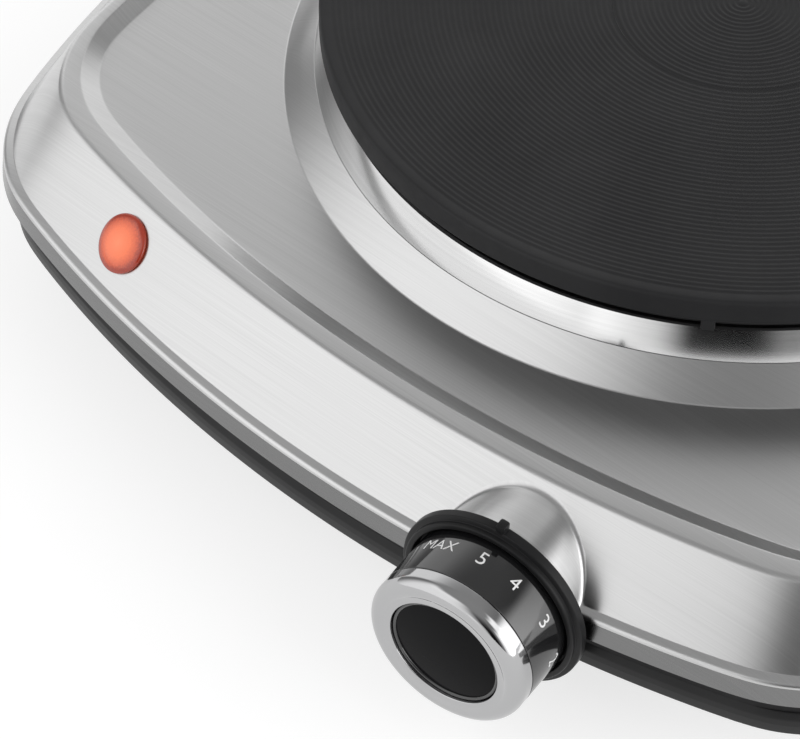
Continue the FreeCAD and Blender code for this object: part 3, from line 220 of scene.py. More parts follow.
def turned(name, points, body, slot, material, place, stands_for=(), segments=256, closed=False):
    """A piece turned about its own axis from a profile of (radius, height, bend) points."""
    profile = [tuple(p) for p in softened(points)]
    if closed:
        profile.append(profile[0])
    verts, faces = spin(profile, segments)
    if closed:
        last = len(verts) - segments
        faces = [tuple(v - last if v >= last else v for v in face) for face in faces]
        verts = verts[:last]
    flat = turned_sheet(verts, PLATE_RADIUS)
    return piece(name, verts, faces, body, slot, material, stands_for, place, sheet=flat)


# Material helpers
EVEN = (1, 1, 1)
CLOUD_DARK, CLOUD_LIGHT = 0.3, 0.7
GLOSS_FINER, GRAIN_FINER, GRAIN_STRENGTH = 6, 20, 0.25
# Brushing: streaks to a metre along and across it, their darkest and lightest tone, and their relief
FINE_STREAKS, BROAD_STREAKS = (14, 2600, 1), (3, 150, 1)
STREAK_DARK, STREAK_LIGHT, STREAK_STRENGTH = 0.93, 1.055, 0.10
ALONG_BRUSHING = 0.25


def material(name, **values):
    """A node material whose shader sockets hold the given values."""
    made = bpy.data.materials.new(name)
    made.use_nodes = True
    shader = made.node_tree.nodes["Principled BSDF"]
    for socket, number in values.items():
        shader.inputs[socket.replace("_", " ")].default_value = number
    return made, made.node_tree, shader


def add(tree, kind, **settings):
    """A new node with its settings."""
    made = tree.nodes.new(kind)
    for key, setting in settings.items():
        setattr(made, key, setting)
    return made


def ramp(tree, source, stops):
    """A colour for a 0 to 1 value, from (position, colour) stops."""
    made = add(tree, "ShaderNodeValToRGB")
    elements = made.color_ramp.elements
    while len(elements) < len(stops):
        elements.new(0.5)
    for element, (position, colour) in zip(elements, stops):
        element.position = position
        element.color = (*colour, 1)
    tree.links.new(source, made.inputs["Fac"])
    return made.outputs["Color"]


def mapped(tree, scale, space="Object"):
    """Object or sheet coordinates in metres, stretched by a scale."""
    where = add(tree, "ShaderNodeTexCoord")
    made = add(tree, "ShaderNodeMapping")
    made.inputs["Scale"].default_value = scale
    tree.links.new(where.outputs[space], made.inputs["Vector"])
    return made.outputs["Vector"]


def noise(tree, vector, scale, detail=4, rough=0.5):
    """A cloudy 0 to 1 value."""
    made = add(tree, "ShaderNodeTexNoise")
    made.inputs["Scale"].default_value = scale
    made.inputs["Detail"].default_value = detail
    made.inputs["Roughness"].default_value = rough
    tree.links.new(vector, made.inputs["Vector"])
    return made.outputs["Fac"]


def span(tree, source, low, high):
    """A 0 to 1 value stretched to a range."""
    made = add(tree, "ShaderNodeMapRange")
    made.inputs["To Min"].default_value = low
    made.inputs["To Max"].default_value = high
    tree.links.new(source, made.inputs["Value"])
    return made.outputs["Result"]


def bump(tree, shader, height, strength, distance):
    """Fine relief on a shader, its distance in metres."""
    made = add(tree, "ShaderNodeBump")
    made.inputs["Strength"].default_value = strength
    made.inputs["Distance"].default_value = distance
    tree.links.new(height, made.inputs["Height"])
    tree.links.new(made.outputs["Normal"], shader.inputs["Normal"])


def grained(name, colour, low, high, scale, roughness, depth, **values):
    """A surface with a cloudy colour, an uneven gloss and a fine grain.

    The colour goes from a low to a high share of itself, the scale is clouds to a metre, and the grain's
    depth is in metres.
    """
    made, tree, shader = material(name, **values)
    vector = mapped(tree, EVEN)
    cloud = noise(tree, vector, scale, 5)
    dark = tuple(c * low for c in colour)
    light = tuple(c * high for c in colour)
    tone = ramp(tree, cloud, [(CLOUD_DARK, dark), (CLOUD_LIGHT, light)])
    tree.links.new(tone, shader.inputs["Base Color"])
    gloss = span(tree, noise(tree, vector, scale * GLOSS_FINER, 3), *roughness)
    tree.links.new(gloss, shader.inputs["Roughness"])
    bump(tree, shader, noise(tree, vector, scale * GRAIN_FINER, 2), GRAIN_STRENGTH, depth)
    return made


def brushed(name, colour, roughness, anisotropy, depth):
    """Sheet steel brushed along the width: long fine streaks of tone, gloss and relief."""
    made, tree, shader = material(
        name, Metallic=1.0, Anisotropic=anisotropy, Anisotropic_Rotation=ALONG_BRUSHING
    )
    fine = noise(tree, mapped(tree, FINE_STREAKS, "UV"), 1.0, 5, 0.6)
    soft = noise(tree, mapped(tree, BROAD_STREAKS, "UV"), 2.0, 3)
    dark = tuple(c * STREAK_DARK for c in colour)
    light = tuple(min(1, c * STREAK_LIGHT) for c in colour)
    tone = ramp(tree, fine, [(CLOUD_DARK, dark), (CLOUD_LIGHT, light)])
    tree.links.new(tone, shader.inputs["Base Color"])
    tree.links.new(span(tree, soft, *roughness), shader.inputs["Roughness"])
    tangent = add(tree, "ShaderNodeTangent", direction_type="UV_MAP", uv_map=BRUSHING)
    tree.links.new(tangent.outputs["Tangent"], shader.inputs["Tangent"])
    bump(tree, shader, fine, STREAK_STRENGTH, depth)
    return made


# Materials
STEEL = brushed("brushed_steel_skin", (0.55, 0.55, 0.55), (0.26, 0.31), 0.6, 0.00001)
# The lip is the same brushed sheet, its tone painted darker: painted shade that stands in for the dim
# reflection on the lip
SHADED_LIP_STEEL = brushed("brushed_lip_painted_shade_skin", (0.21, 0.21, 0.21), (0.24, 0.30), 0.5, 0.00001)
RING = brushed("polished_ring_skin", (0.68, 0.68, 0.68), (0.09, 0.13), 0.3, 0.000003)
PLAIN = grained("plain_steel_skin", (0.52, 0.52, 0.52), 0.85, 1.1, 60, (0.3, 0.45), 0.00003, Metallic=1.0)
ELEMENT = grained("element_skin", (0.33, 0.31, 0.29), 0.7, 1.2, 50, (0.5, 0.7), 0.00005, Metallic=1.0)
CERAMIC = grained("ceramic_skin", (0.80, 0.78, 0.73), 0.93, 1.05, 90, (0.6, 0.8), 0.00005)
ENAMEL = grained(
    "black_enamel_skin", (0.012, 0.012, 0.0125), 0.8, 1.3, 70, (0.42, 0.52), 0.00004, Specular_IOR_Level=0.15
)
TRAY = grained(
    "tray_wall_skin", (0.012, 0.012, 0.0125), 0.8, 1.3, 70, (0.36, 0.44), 0.00004, Specular_IOR_Level=0.27
)
RUBBER = grained("black_rubber_skin", (0.024, 0.024, 0.024), 0.8, 1.2, 120, (0.65, 0.8), 0.00006)
GLOSS = grained("gloss_black_skin", (0.008, 0.008, 0.0085), 0.8, 1.2, 40, (0.06, 0.10), 0.000004, IOR=1.75)
DARK = grained(
    "cap_black_skin", (0.006, 0.006, 0.0065), 0.8, 1.2, 40, (0.08, 0.12), 0.000004, Specular_IOR_Level=0.04
)
SATIN = grained(
    "satin_black_skin", (0.011, 0.011, 0.0115), 0.8, 1.3, 90, (0.34, 0.44), 0.00004, Specular_IOR_Level=0.17
)
CHROME = grained("chrome_skin", (0.46, 0.46, 0.465), 0.97, 1.02, 30, (0.06, 0.10), 0.000003, Metallic=1.0)
MOULDING = grained("moulding_skin", (0.68, 0.64, 0.56), 0.93, 1.05, 80, (0.45, 0.6), 0.00005)
BRASS = grained("brass_skin", (0.72, 0.55, 0.25), 0.88, 1.08, 70, (0.25, 0.4), 0.00003, Metallic=1.0)
BULB = grained(
    "bulb_glass_skin", (0.95, 0.88, 0.80), 0.98, 1.0, 50, (0.02, 0.05), 0.00001, Transmission_Weight=0.9
)
BROWN = grained("lead_brown_skin", (0.20, 0.09, 0.045), 0.9, 1.1, 90, (0.45, 0.6), 0.00004)
BLUE = grained("lead_blue_skin", (0.05, 0.13, 0.40), 0.9, 1.1, 90, (0.45, 0.6), 0.00004)
WHITE = grained("lead_white_skin", (0.74, 0.72, 0.69), 0.95, 1.03, 90, (0.45, 0.6), 0.00004)
PRINT = grained("dial_print_skin", (0.82, 0.82, 0.82), 0.95, 1.03, 300, (0.4, 0.5), 0.00002)

# Cast plate's coating: its tones and roughness, then clouds, gloss and grain to a metre, and its relief
CAST_TONES = [(CLOUD_DARK, (0.013, 0.013, 0.014)), (CLOUD_LIGHT, (0.020, 0.020, 0.021))]
CAST_ROUGHNESS = (0.48, 0.62)
CAST_CLOUDS, CAST_GLOSS, CAST_GRAIN = 45, 400, 1500
CAST_STRENGTH, CAST_DEPTH = 0.3, 0.00005
# Lens: its own orange-red, painted lighter in the middle and darker towards its edge as painted shade, then
# the diffuser's cells to a metre, and how far they shift the tone
LENS_SHADE_TONES = [
    (0.0, (0.92, 0.22, 0.085)),
    (0.6, (0.84, 0.16, 0.05)),
    (0.85, (0.62, 0.09, 0.026)),
    (1.0, (0.30, 0.03, 0.012)),
]
LENS_CELLS = 2200
CELL_SHIFT = (-0.03, 0.05)


def cast_plate_material():
    """Matt heat-proof coating on cast iron, a little cloudy."""
    made, tree, shader = material("cast_plate_skin", Specular_IOR_Level=0.25)
    vector = mapped(tree, EVEN)
    tree.links.new(ramp(tree, noise(tree, vector, CAST_CLOUDS, 5), CAST_TONES), shader.inputs["Base Color"])
    gloss = span(tree, noise(tree, vector, CAST_GLOSS, 3), *CAST_ROUGHNESS)
    tree.links.new(gloss, shader.inputs["Roughness"])
    bump(tree, shader, noise(tree, vector, CAST_GRAIN, 3), CAST_STRENGTH, CAST_DEPTH)
    return made


def lamp_material():
    """Glossy orange-red lens with a fine diffuser. Its colour is painted lighter in the middle and deep red
    at its edge as painted shade, and it glows a little in that colour as a painted glow.
    """
    # The emission strength gives the lens a painted glow
    made, tree, shader = material(
        "lamp_orange_skin", Roughness=0.12, Coat_Weight=0.4, Coat_Roughness=0.05, Emission_Strength=0.25
    )
    from_middle = add(tree, "ShaderNodeSeparateXYZ")
    tree.links.new(mapped(tree, EVEN, "UV"), from_middle.inputs[0])
    reach = add(tree, "ShaderNodeMapRange")
    tree.links.new(from_middle.outputs["Y"], reach.inputs["Value"])
    reach.inputs["From Min"].default_value = (LENS_FLANGE + LENS_DOME) * MM
    reach.inputs["From Max"].default_value = (LENS_RADIUS + LENS_FLANGE) * MM
    cells = add(tree, "ShaderNodeTexVoronoi")
    cells.inputs["Scale"].default_value = LENS_CELLS
    tree.links.new(mapped(tree, EVEN), cells.inputs["Vector"])
    place = add(tree, "ShaderNodeMath", operation="ADD")
    tree.links.new(reach.outputs["Result"], place.inputs[0])
    tree.links.new(span(tree, cells.outputs["Distance"], *CELL_SHIFT), place.inputs[1])
    # Painted shade: the lens's orange-red darkens from its middle towards its edge
    tone = ramp(tree, place.outputs[0], LENS_SHADE_TONES)
    tree.links.new(tone, shader.inputs["Base Color"])
    # The same painted tone drives the emission: a painted glow, not a lamp
    tree.links.new(tone, shader.inputs["Emission Color"])
    return made


CAST = cast_plate_material()
LAMP = lamp_material()
SKINS = {
    "brushed_steel": STEEL, "polished_ring": RING, "cast_plate": CAST, "element": ELEMENT,
    "ceramic": CERAMIC, "plain_steel": PLAIN, "black_enamel": ENAMEL, "black_rubber": RUBBER,
    "gloss_black": GLOSS, "satin_black": SATIN, "chrome": CHROME, "moulding": MOULDING,
    "brass": BRASS, "lamp_orange": LAMP, "bulb_glass": BULB, "lead_brown": BROWN,
    "lead_blue": BLUE, "lead_white": WHITE,
}
for cad_node in NODES.values():
    for index, old in enumerate(cad_node.data.materials):
        cad_node.data.materials[index] = SKINS[old.name.split(".")[0]]

# Housing
SIDE_POINTS, CORNER_POINTS, EASING = 36, 28, 14
COLLAR_STEPS = 10
# Corners of the pressed sheet's section: half depth, height, front radius, half width, flank radius,
# corner radius and bend
OUTER_SECTION = [
    (LIP_HALF, LIP_BOTTOM, LIP_BOW, LIP_HALF, LIP_BOW, LIP_CORNER, 0),
    (140.9, 34.5, LIP_BOW, 140.9, LIP_BOW, LIP_CORNER, 1.2),
    (138.7, 35.1, LIP_BOW, 138.7, LIP_BOW, LIP_CORNER, 0.6),
    (124.5, RIM_TOP, 360, 124.2, 620, 35, 2.2),
    (120.2, RIM_TOP, 332, 121.4, 620, 32.5, 1.2),
    (115.5, DECK, 328, 118.0, 620, 28.5, 1.4),
    (112.0, DECK, 324.5, 114.5, 616.5, 25, 0),
]
INNER_SECTION = [
    (112.0, DECK - SHEET, 324.5, 114.5, 616.5, 25, 0),
    (116.0, DECK - SHEET, 328.5, 118.5, 620.5, 29, 0.6),
    (120.9, RIM_TOP - SHEET, 332.7, 122.1, 620.7, 33.2, 0.6),
    (123.9, RIM_TOP - SHEET, 359.4, 123.6, 619.4, 34.4, 1.4),
    (138.2, 34.3, LIP_BOW, 138.2, LIP_BOW, LIP_CORNER, 0.6),
    (140.1, 33.75, LIP_BOW, 140.1, LIP_BOW, LIP_CORNER, 0.3),
    (LIP_HALF - SHEET, LIP_BOTTOM, LIP_BOW, LIP_HALF - SHEET, LIP_BOW, LIP_CORNER, 0),
]
# The collar round the plate's opening: radius, height and bend
OUTER_COLLAR = [
    (COLLAR_OUTER, DECK, 0),
    (100.4, DECK, 0.8),
    (93.75, COLLAR_TOP, 0.2),
    (COLLAR_OPENING, COLLAR_TOP, 0),
]
INNER_COLLAR = [
    (COLLAR_OPENING, COLLAR_TOP, 0),
    (COLLAR_OPENING, COLLAR_TOP - COLLAR_EDGE, 0),
    (99.8, DECK - SHEET, 0.8),
    (COLLAR_OUTER, DECK - SHEET, 0),
]


def bowed_outline(half, height, front, half_across, flank, corner):
    """Points round a plan with a bowed front and back, bowed flanks and round corners.

    The front and flank are arcs of the given radii, which reach a half depth and a half width. A few
    rounds of averaging ease each arc into the next.
    """
    front_back, flank_back = front - half, flank - half_across
    # The corner's centre lies where two circles about the arcs' centres meet
    gap = math.hypot(front_back, flank_back)
    to_front, to_flank = front - corner, flank - corner
    along = (to_front**2 - to_flank**2 + gap**2) / (2 * gap)
    aside = math.sqrt(to_front**2 - along**2)
    unit = Vector((-flank_back, -front_back)) / gap
    middle = Vector((0, front_back)) + unit * along + Vector((-unit.y, unit.x)) * aside
    front_turn = math.atan2(middle.x, front_back - middle.y)
    flank_turn = math.atan2(-middle.y, middle.x + flank_back)
    quarter = []
    for step in range(SIDE_POINTS):
        turn = front_turn * step / SIDE_POINTS
        quarter.append(Vector((front * math.sin(turn), front_back - front * math.cos(turn))))
    for step in range(CORNER_POINTS):
        turn = front_turn + (math.pi / 2 - flank_turn - front_turn) * step / CORNER_POINTS
        quarter.append(middle + Vector((math.sin(turn), -math.cos(turn))) * corner)
    for step in range(SIDE_POINTS):
        turn = flank_turn * (1 - step / SIDE_POINTS)
        quarter.append(Vector((flank * math.cos(turn) - flank_back, -flank * math.sin(turn))))
    mirrored = [Vector((p.x, -p.y)) for p in reversed(quarter[1:])]
    right = quarter + [Vector((half_across, 0))] + mirrored
    ring = right + [Vector((0, half))] + [Vector((-p.x, p.y)) for p in reversed(right[1:])]
    for _ in range(EASING):
        ring = [(ring[i - 1] + ring[i] * 2 + ring[(i + 1) % len(ring)]) / 4 for i in range(len(ring))]
    return [Vector((p.x, p.y, height)) for p in ring]


def housing_shell():
    """The pressed sheet from its lip over the deck to the collar and back inside, with its flat sheet."""
    rings = [bowed_outline(*level) for level in softened(OUTER_SECTION)]
    guide = rings[-1]

    def circle(radius, height):
        return [Vector((p.x, p.y, 0)).normalized() * radius + Vector((0, 0, height)) for p in guide]

    rings += [circle(*level) for level in softened(OUTER_COLLAR, COLLAR_STEPS)]
    rings += [circle(*level) for level in softened(INNER_COLLAR)[1:]]
    rings += [bowed_outline(*level) for level in softened(INNER_SECTION)]
    verts, faces = lofted(rings)
    count = len(guide)
    flat = []
    for ring in rings:
        for step, p in enumerate(ring):
            along = guide[(step + 1) % count] - guide[step - 1]
            outward = Vector((along.y, -along.x)).normalized()
            flat.append((p.x - outward.x * (p.z - DECK), p.y - outward.y * (p.z - DECK)))
    return verts, faces, flat


SHELL, SHELL_FACES, SHELL_SHEET = housing_shell()
HOUSING = piece(
    "housing_skin", SHELL, SHELL_FACES, "housing", "brushed_steel", STEEL, ["top_housing"], PLATE,
    crease=60, sheet=SHELL_SHEET,
)
# Faces below the lip's top take the darker copy of the steel: painted shade on the lip
HOUSING.data.materials.append(SHADED_LIP_STEEL)
for face in HOUSING.data.polygons:
    if face.center.z < LIP_TOP * MM:
        face.material_index = 1

# Boss behind the knob
BOSS_RADIUS, BOSS_EDGE, BOSS_BREAK = 18.0, 0.5, 0.1
BOSS_DRAFT, BOSS_FILLET, BOSS_CEILING = 0.09, 0.9, 48.9
SMALLEST_FILLET, FILLET_SHARE = 0.1, 0.45
BOSS_CLEAR, BOSS_DEEPEST = 0.05, 40
BOSS_COLUMNS, BOSS_PARTS, EDGE_PARTS, BOSS_SEGMENTS = 140, 6, 4, 128
SMALLEST_SINE = 0.01


def boss_column(meet, turn):
    """Points down the boss at one turn, from its face over its edge and wall to a fillet on the panel."""
    foot = meet(BOSS_RADIUS, turn, BOSS_DRAFT)
    if foot is None:
        return None
    room = (BOSS_CEILING - KNOB_HEIGHT) / max(math.sin(turn), SMALLEST_SINE) - foot.x
    fillet = max(SMALLEST_FILLET, min(BOSS_FILLET, room))
    beyond = meet(foot.x + fillet, turn)
    if beyond is None:
        return None
    top = Vector((BOSS_RADIUS, -BOSS_EDGE))
    length = (foot - top).length
    tail = top + (foot - top) * (1 - min(fillet, FILLET_SHARE * length) / length)
    column = []
    for part in range(EDGE_PARTS + 1):
        swing = math.pi / 2 * part / EDGE_PARTS
        radius = BOSS_RADIUS + BOSS_EDGE * (math.sin(swing) - 1)
        column.append(Vector((radius, BOSS_EDGE * (math.cos(swing) - 1))))
    column += [top + (tail - top) * (part / BOSS_PARTS) for part in range(1, BOSS_PARTS + 1)]
    column += [bent(tail, foot, beyond, part / BOSS_PARTS) for part in range(1, BOSS_PARTS + 1)]
    return [(p.x * math.cos(turn), p.x * math.sin(turn), p.y) for p in column]


def boss_surface(shell, shell_faces):
    """The round boss behind the knob: a disc, and a drafted wall that runs back into the sloped panel."""
    tree = BVHTree.FromPolygons([PLATE @ v for v in shell], shell_faces)
    to_frame = KNOB.to_3x3()

    def meet(radius, turn, draft=0.0):
        """Radius, and height over the boss's face, where a line back from the face meets the housing."""
        arm = Vector((math.cos(turn), math.sin(turn), 0))
        start = arm * radius
        heading = (Vector((0, 0, -1)) - arm * draft).normalized()
        place, _, _, distance = tree.ray_cast(KNOB @ start, to_frame @ heading, BOSS_DEEPEST)
        if place is None:
            return None
        end = start + heading * distance
        return Vector((math.hypot(end.x, end.y), end.z))

    low = -math.asin((KNOB_HEIGHT - LIP_BOTTOM - BOSS_CLEAR) / BOSS_RADIUS)
    turns = [low + (math.pi - 2 * low) * step / BOSS_COLUMNS for step in range(BOSS_COLUMNS + 1)]
    columns = [column for column in (boss_column(meet, turn) for turn in turns) if column]
    tall = len(columns[0])
    verts = [v for column in columns for v in column]
    faces = [
        (a * tall + b, a * tall + b + 1, (a + 1) * tall + b + 1, (a + 1) * tall + b)
        for a in range(len(columns) - 1)
        for b in range(tall - 1)
    ]
    disc = [
        (BUSHING_HOLE, 0), (BOSS_RADIUS - BOSS_EDGE, 0), (BOSS_RADIUS - BOSS_BREAK, -BOSS_BREAK),
        (BOSS_RADIUS, -BOSS_EDGE), (BOSS_RADIUS, -SHEET), (BUSHING_HOLE, -SHEET), (BUSHING_HOLE, 0),
    ]
    disc_verts, disc_faces = spin(disc, BOSS_SEGMENTS)
    faces += [tuple(v + len(verts) for v in face) for face in disc_faces]
    return verts + disc_verts, faces


BOSS, BOSS_FACES = boss_surface(SHELL, SHELL_FACES)
piece(
    "housing_boss", BOSS, BOSS_FACES, "housing", "brushed_steel", STEEL, (), KNOB,
    crease=50, sheet=turned_sheet(BOSS, BOSS_RADIUS),
)

# Tray wall: a rolled band over it; set-back from the lip's outline, height and bend, from the bottom up
TRAY_SECTION = [
    (4.4, 16.02, 0),
    (3.9, 16.02, 0.4),
    (3.1, 16.9, 0.8),
    (2.95, 19.4, 1.2),
    (3.05, 21.0, 1.6),
    (3.8, 22.6, 0.4),
    (4.4, 22.8, 0),
]
TRAY_CORNER = LIP_CORNER - 3.0


def tray_wall():
    """A closed band round the tray, whose corners come a little nearer to the lip than its sides do."""
    section = []
    for back, height, bend in TRAY_SECTION:
        half, bow, corner = LIP_HALF - back, LIP_BOW - back, TRAY_CORNER - back
        section.append((half, height, bow, half, bow, corner, bend))
    return lofted([bowed_outline(*level) for level in softened(section)])


piece("tray_wall", *tray_wall(), "housing", "black_enamel", TRAY, (), PLATE, crease=40)

# Trim ring: its band is an arc that leans back from the collar's edge towards the plate
RING_FOOT, RING_BEND, RING_STEPS = (93.65, 54.0), 115.8, 16
RING_LEAN, RING_SWEEP = math.radians(22.5), math.radians(3.5)
RING_SEAT, RING_UNDER, RING_INNER = 92.7, 89.9, 86.9
RING_FALL, RING_HEM = 0.3, 1.1


def ring_arc():
    """The band's points, from its foot on the collar to its top edge."""
    points = []
    for step in range(RING_STEPS + 1):
        lean = RING_LEAN + RING_SWEEP * step / RING_STEPS
        points.append((
            RING_FOOT[0] - RING_BEND * (math.cos(RING_LEAN) - math.cos(lean)),
            RING_FOOT[1] + RING_BEND * (math.sin(lean) - math.sin(RING_LEAN)),
            0,
        ))
    return points


RING_ARC = ring_arc()
RING_TOP = RING_ARC[-1][1]
RING_PROFILE = [(RING_SEAT, RING_FOOT[1], 0), *RING_ARC]
RING_PROFILE += [(RING_INNER, RING_TOP - RING_FALL, 0), (RING_INNER, RING_TOP - RING_HEM, 0)]
RING_PROFILE += [(RING_UNDER, RING_TOP - RING_HEM, 0)]
turned("ring_band", RING_PROFILE, "housing", "polished_ring", RING, PLATE, ["trim_ring"], closed=True)

# Plate
GROOVE_PITCH, GROOVE_DEPTH, GROOVE_MARGIN = 1.28, 0.17, 1.7
RECESS_RADIUS, RECESS_DEPTH = 29.0, 0.5
PLATE_RIM, RIM_WIDE, RING_GAP = 5.8, 3.0, 0.3
SPIGOT_INSET, SPIGOT_WALL, SPIGOT_DEPTH, PLATE_THICK = 5.8, 4.8, 18.0, 9.0
LUG_COUNT, LUG_ANGLE = 3, -56.1
LUG_THICK, LUG_WIDTH, LUG_DEPTH, LUG_ROOT, LUG_INSET, LUG_BEND = 3.0, 3.0, 3.0, 0.6, 1.6, 0.35


def plate_profile():
    """Fine ring grooves on top, a shallow round recess, the rim, the shadow gap and the spigot below."""
    points = [(0, PLATE_TOP - RECESS_DEPTH, 0)]
    for index in range(1, int((PLATE_RADIUS - GROOVE_MARGIN) / GROOVE_PITCH) + 1):
        middle = index * GROOVE_PITCH
        sunk = RECESS_DEPTH if middle + GROOVE_PITCH / 2 < RECESS_RADIUS else 0
        for along, share in ((-1 / 2, 0), (-1 / 4, 1 / 2), (0, 1), (1 / 4, 1 / 2)):
            points.append((middle + GROOVE_PITCH * along, PLATE_TOP - sunk - GROOVE_DEPTH * share, 0))
    rim_bottom, gap_top = PLATE_TOP - PLATE_RIM, RING_TOP + RING_GAP
    spigot_bottom, under = PLATE_TOP - SPIGOT_DEPTH, PLATE_TOP - PLATE_THICK
    rim_inner, spigot = PLATE_RADIUS - RIM_WIDE, PLATE_RADIUS - SPIGOT_INSET
    points += [
        (PLATE_RADIUS, PLATE_TOP, 0.9), (PLATE_RADIUS, rim_bottom, 0.4), (rim_inner, rim_bottom, 0.4),
        (rim_inner, gap_top, 0.2), (spigot, gap_top, 0.2), (spigot, spigot_bottom, 0.4),
        (spigot - SPIGOT_WALL, spigot_bottom, 0.4), (spigot - SPIGOT_WALL, under, 1.0), (0, under, 0),
    ]
    return points


turned("plate_casting", plate_profile(), "housing", "cast_plate", CAST, PLATE, ["hot_plate"])
LUG, LUG_FACES = rounded_block((LUG_THICK, LUG_WIDTH, LUG_DEPTH + LUG_ROOT), LUG_BEND)
LUG_HEIGHT = PLATE_TOP - PLATE_RIM + (LUG_ROOT - LUG_DEPTH) / 2
LUG_SEAT = Matrix.Translation((PLATE_RADIUS - LUG_INSET, 0, LUG_HEIGHT))
for index in range(LUG_COUNT):
    lug_turn = Matrix.Rotation(math.radians(LUG_ANGLE + 360 / LUG_COUNT * index), 4, "Z")
    lug_place = PLATE @ lug_turn @ LUG_SEAT
    piece(f"plate_lug_{index}", LUG, LUG_FACES, "housing", "cast_plate", CAST, (), lug_place)

# Knob; radii from its axis, and heights over the boss's face
KNOB_SEGMENTS = 192
SKIRT_RADIUS, SKIRT_EDGE, SKIRT_RIM, SKIRT_WELL = 21.5, 0.4, 20.3, 18.9
SKIRT_FLOOR, SKIRT_SHOULDER, SKIRT_STEP, SKIRT_TOP = 1.2, 2.3, 2.5, 3.7
SKIRT_PROFILE = [
    (BUSHING_HOLE, 0, 0), (SKIRT_RADIUS - SKIRT_EDGE, 0, 0.3), (SKIRT_RADIUS, SKIRT_EDGE, 0.3),
    (SKIRT_RADIUS, SKIRT_SHOULDER, 0.4), (SKIRT_RIM, SKIRT_STEP, 0.2), (SKIRT_RIM, SKIRT_TOP, 0.5),
    (SKIRT_WELL, SKIRT_TOP, 0.4), (SKIRT_WELL, SKIRT_FLOOR, 0.3), (BUSHING_HOLE, SKIRT_FLOOR, 0),
]
turned(
    "skirt_moulding", SKIRT_PROFILE, "housing", "satin_black", SATIN, KNOB, ["dial_skirt"],
    KNOB_SEGMENTS, closed=True,
)
POINTER_SIZE, POINTER_BEND, POINTER_REACH, POINTER_ANGLE = (2.2, 2.6, 2.4), 0.5, 22.0, -4
POINTER_TURN = Matrix.Rotation(math.radians(POINTER_ANGLE), 4, "Z")
POINTER_SEAT = Matrix.Translation((0, POINTER_REACH, SKIRT_FLOOR))
POINTER, POINTER_FACES = rounded_block(POINTER_SIZE, POINTER_BEND)
piece(
    "skirt_pointer", POINTER, POINTER_FACES, "housing", "satin_black", SATIN, (),
    KNOB @ POINTER_TURN @ POINTER_SEAT,
)

DRUM_RADIUS, DRUM_WELL, DRUM_BORE = 18.4, 16.6, 3.4
DRUM_BACK, DRUM_FLOOR, DRUM_FRONT = 2.0, 13.4, 15.0
DRUM_PROFILE = [
    (DRUM_WELL, DRUM_BACK, 0), (DRUM_RADIUS, DRUM_BACK, 0.25), (DRUM_RADIUS, DRUM_FRONT, 0.15),
    (DRUM_BORE, DRUM_FRONT, 0), (DRUM_BORE, DRUM_FLOOR, 0), (DRUM_WELL, DRUM_FLOOR, 0),
]
turned(
    "drum_moulding", DRUM_PROFILE, "knob", "gloss_black", GLOSS, KNOB, ["dial_drum"],
    KNOB_SEGMENTS, closed=True,
)

# The bezel's face is part of an oval, from its outer side round to its inner edge
BEZEL_MIDDLE, BEZEL_SHOULDER, BEZEL_WIDE, BEZEL_RISE = 15.75, 17.2, 2.65, 2.8
BEZEL_SWEEP, BEZEL_STEPS = math.radians(120), 24
BEZEL_BORE, BEZEL_EDGE = 12.75, 0.1
BEZEL_BACK, BEZEL_FOOT, BORE_STEP, BORE_TOP = 15.05, 15.3, 18.0, 19.55


def bezel_profile():
    """The bezel's back, its oval face and its bore."""
    points = [
        (BEZEL_BORE, BEZEL_BACK, 0),
        (DRUM_RADIUS - BEZEL_EDGE, BEZEL_BACK, 0.2),
        (DRUM_RADIUS, BEZEL_FOOT, 0.2),
    ]
    for step in range(BEZEL_STEPS + 1):
        swing = BEZEL_SWEEP * step / BEZEL_STEPS
        radius = BEZEL_MIDDLE + BEZEL_WIDE * math.cos(swing)
        points.append((radius, BEZEL_SHOULDER + BEZEL_RISE * math.sin(swing), 0))
    return points + [(BEZEL_BORE + BEZEL_EDGE, BORE_TOP, 0.25), (BEZEL_BORE, BORE_STEP, 0)]


turned(
    "bezel_ring", bezel_profile(), "knob", "chrome", CHROME, KNOB, ["knob_bezel"],
    KNOB_SEGMENTS, closed=True,
)

# The cap is a crowned face inside a small round bead
CAP_FACE, CAP_HEIGHT, CAP_CROWN, CAP_BEAD, CAP_BACK = 11.9, 18.6, 0.5, 0.4, 15.2
CAP_STEPS, CAP_SEGMENTS = 10, 160


def cap_profile():
    """The crowned face from its middle, then the bead, the side and the back."""
    points = []
    for step in range(CAP_STEPS):
        t = step / CAP_STEPS
        points.append((CAP_FACE * t, CAP_HEIGHT + CAP_CROWN * (1 - t * t), 0))
    for step in range(CAP_STEPS + 1):
        swing = math.pi * (1 - step / CAP_STEPS)
        radius = CAP_FACE + CAP_BEAD * (1 + math.cos(swing))
        points.append((radius, CAP_HEIGHT + CAP_BEAD * math.sin(swing), 0))
    return points + [(CAP_FACE + 2 * CAP_BEAD, CAP_BACK, 0), (0, CAP_BACK, 0)]


CAP = turned("cap_disc", cap_profile(), "knob", "gloss_black", DARK, KNOB, ["knob_cap"], CAP_SEGMENTS)
CAP.data.materials.append(GLOSS)
TO_KNOB = KNOB.inverted()
for face in CAP.data.polygons:
    spot = TO_KNOB @ (face.center / MM)
    if math.hypot(spot.x, spot.y) > CAP_FACE:
        face.material_index = 1

# Lamp
LAMP_X = -68.75
LENS_STEPS, LENS_SEGMENTS = 20, 96


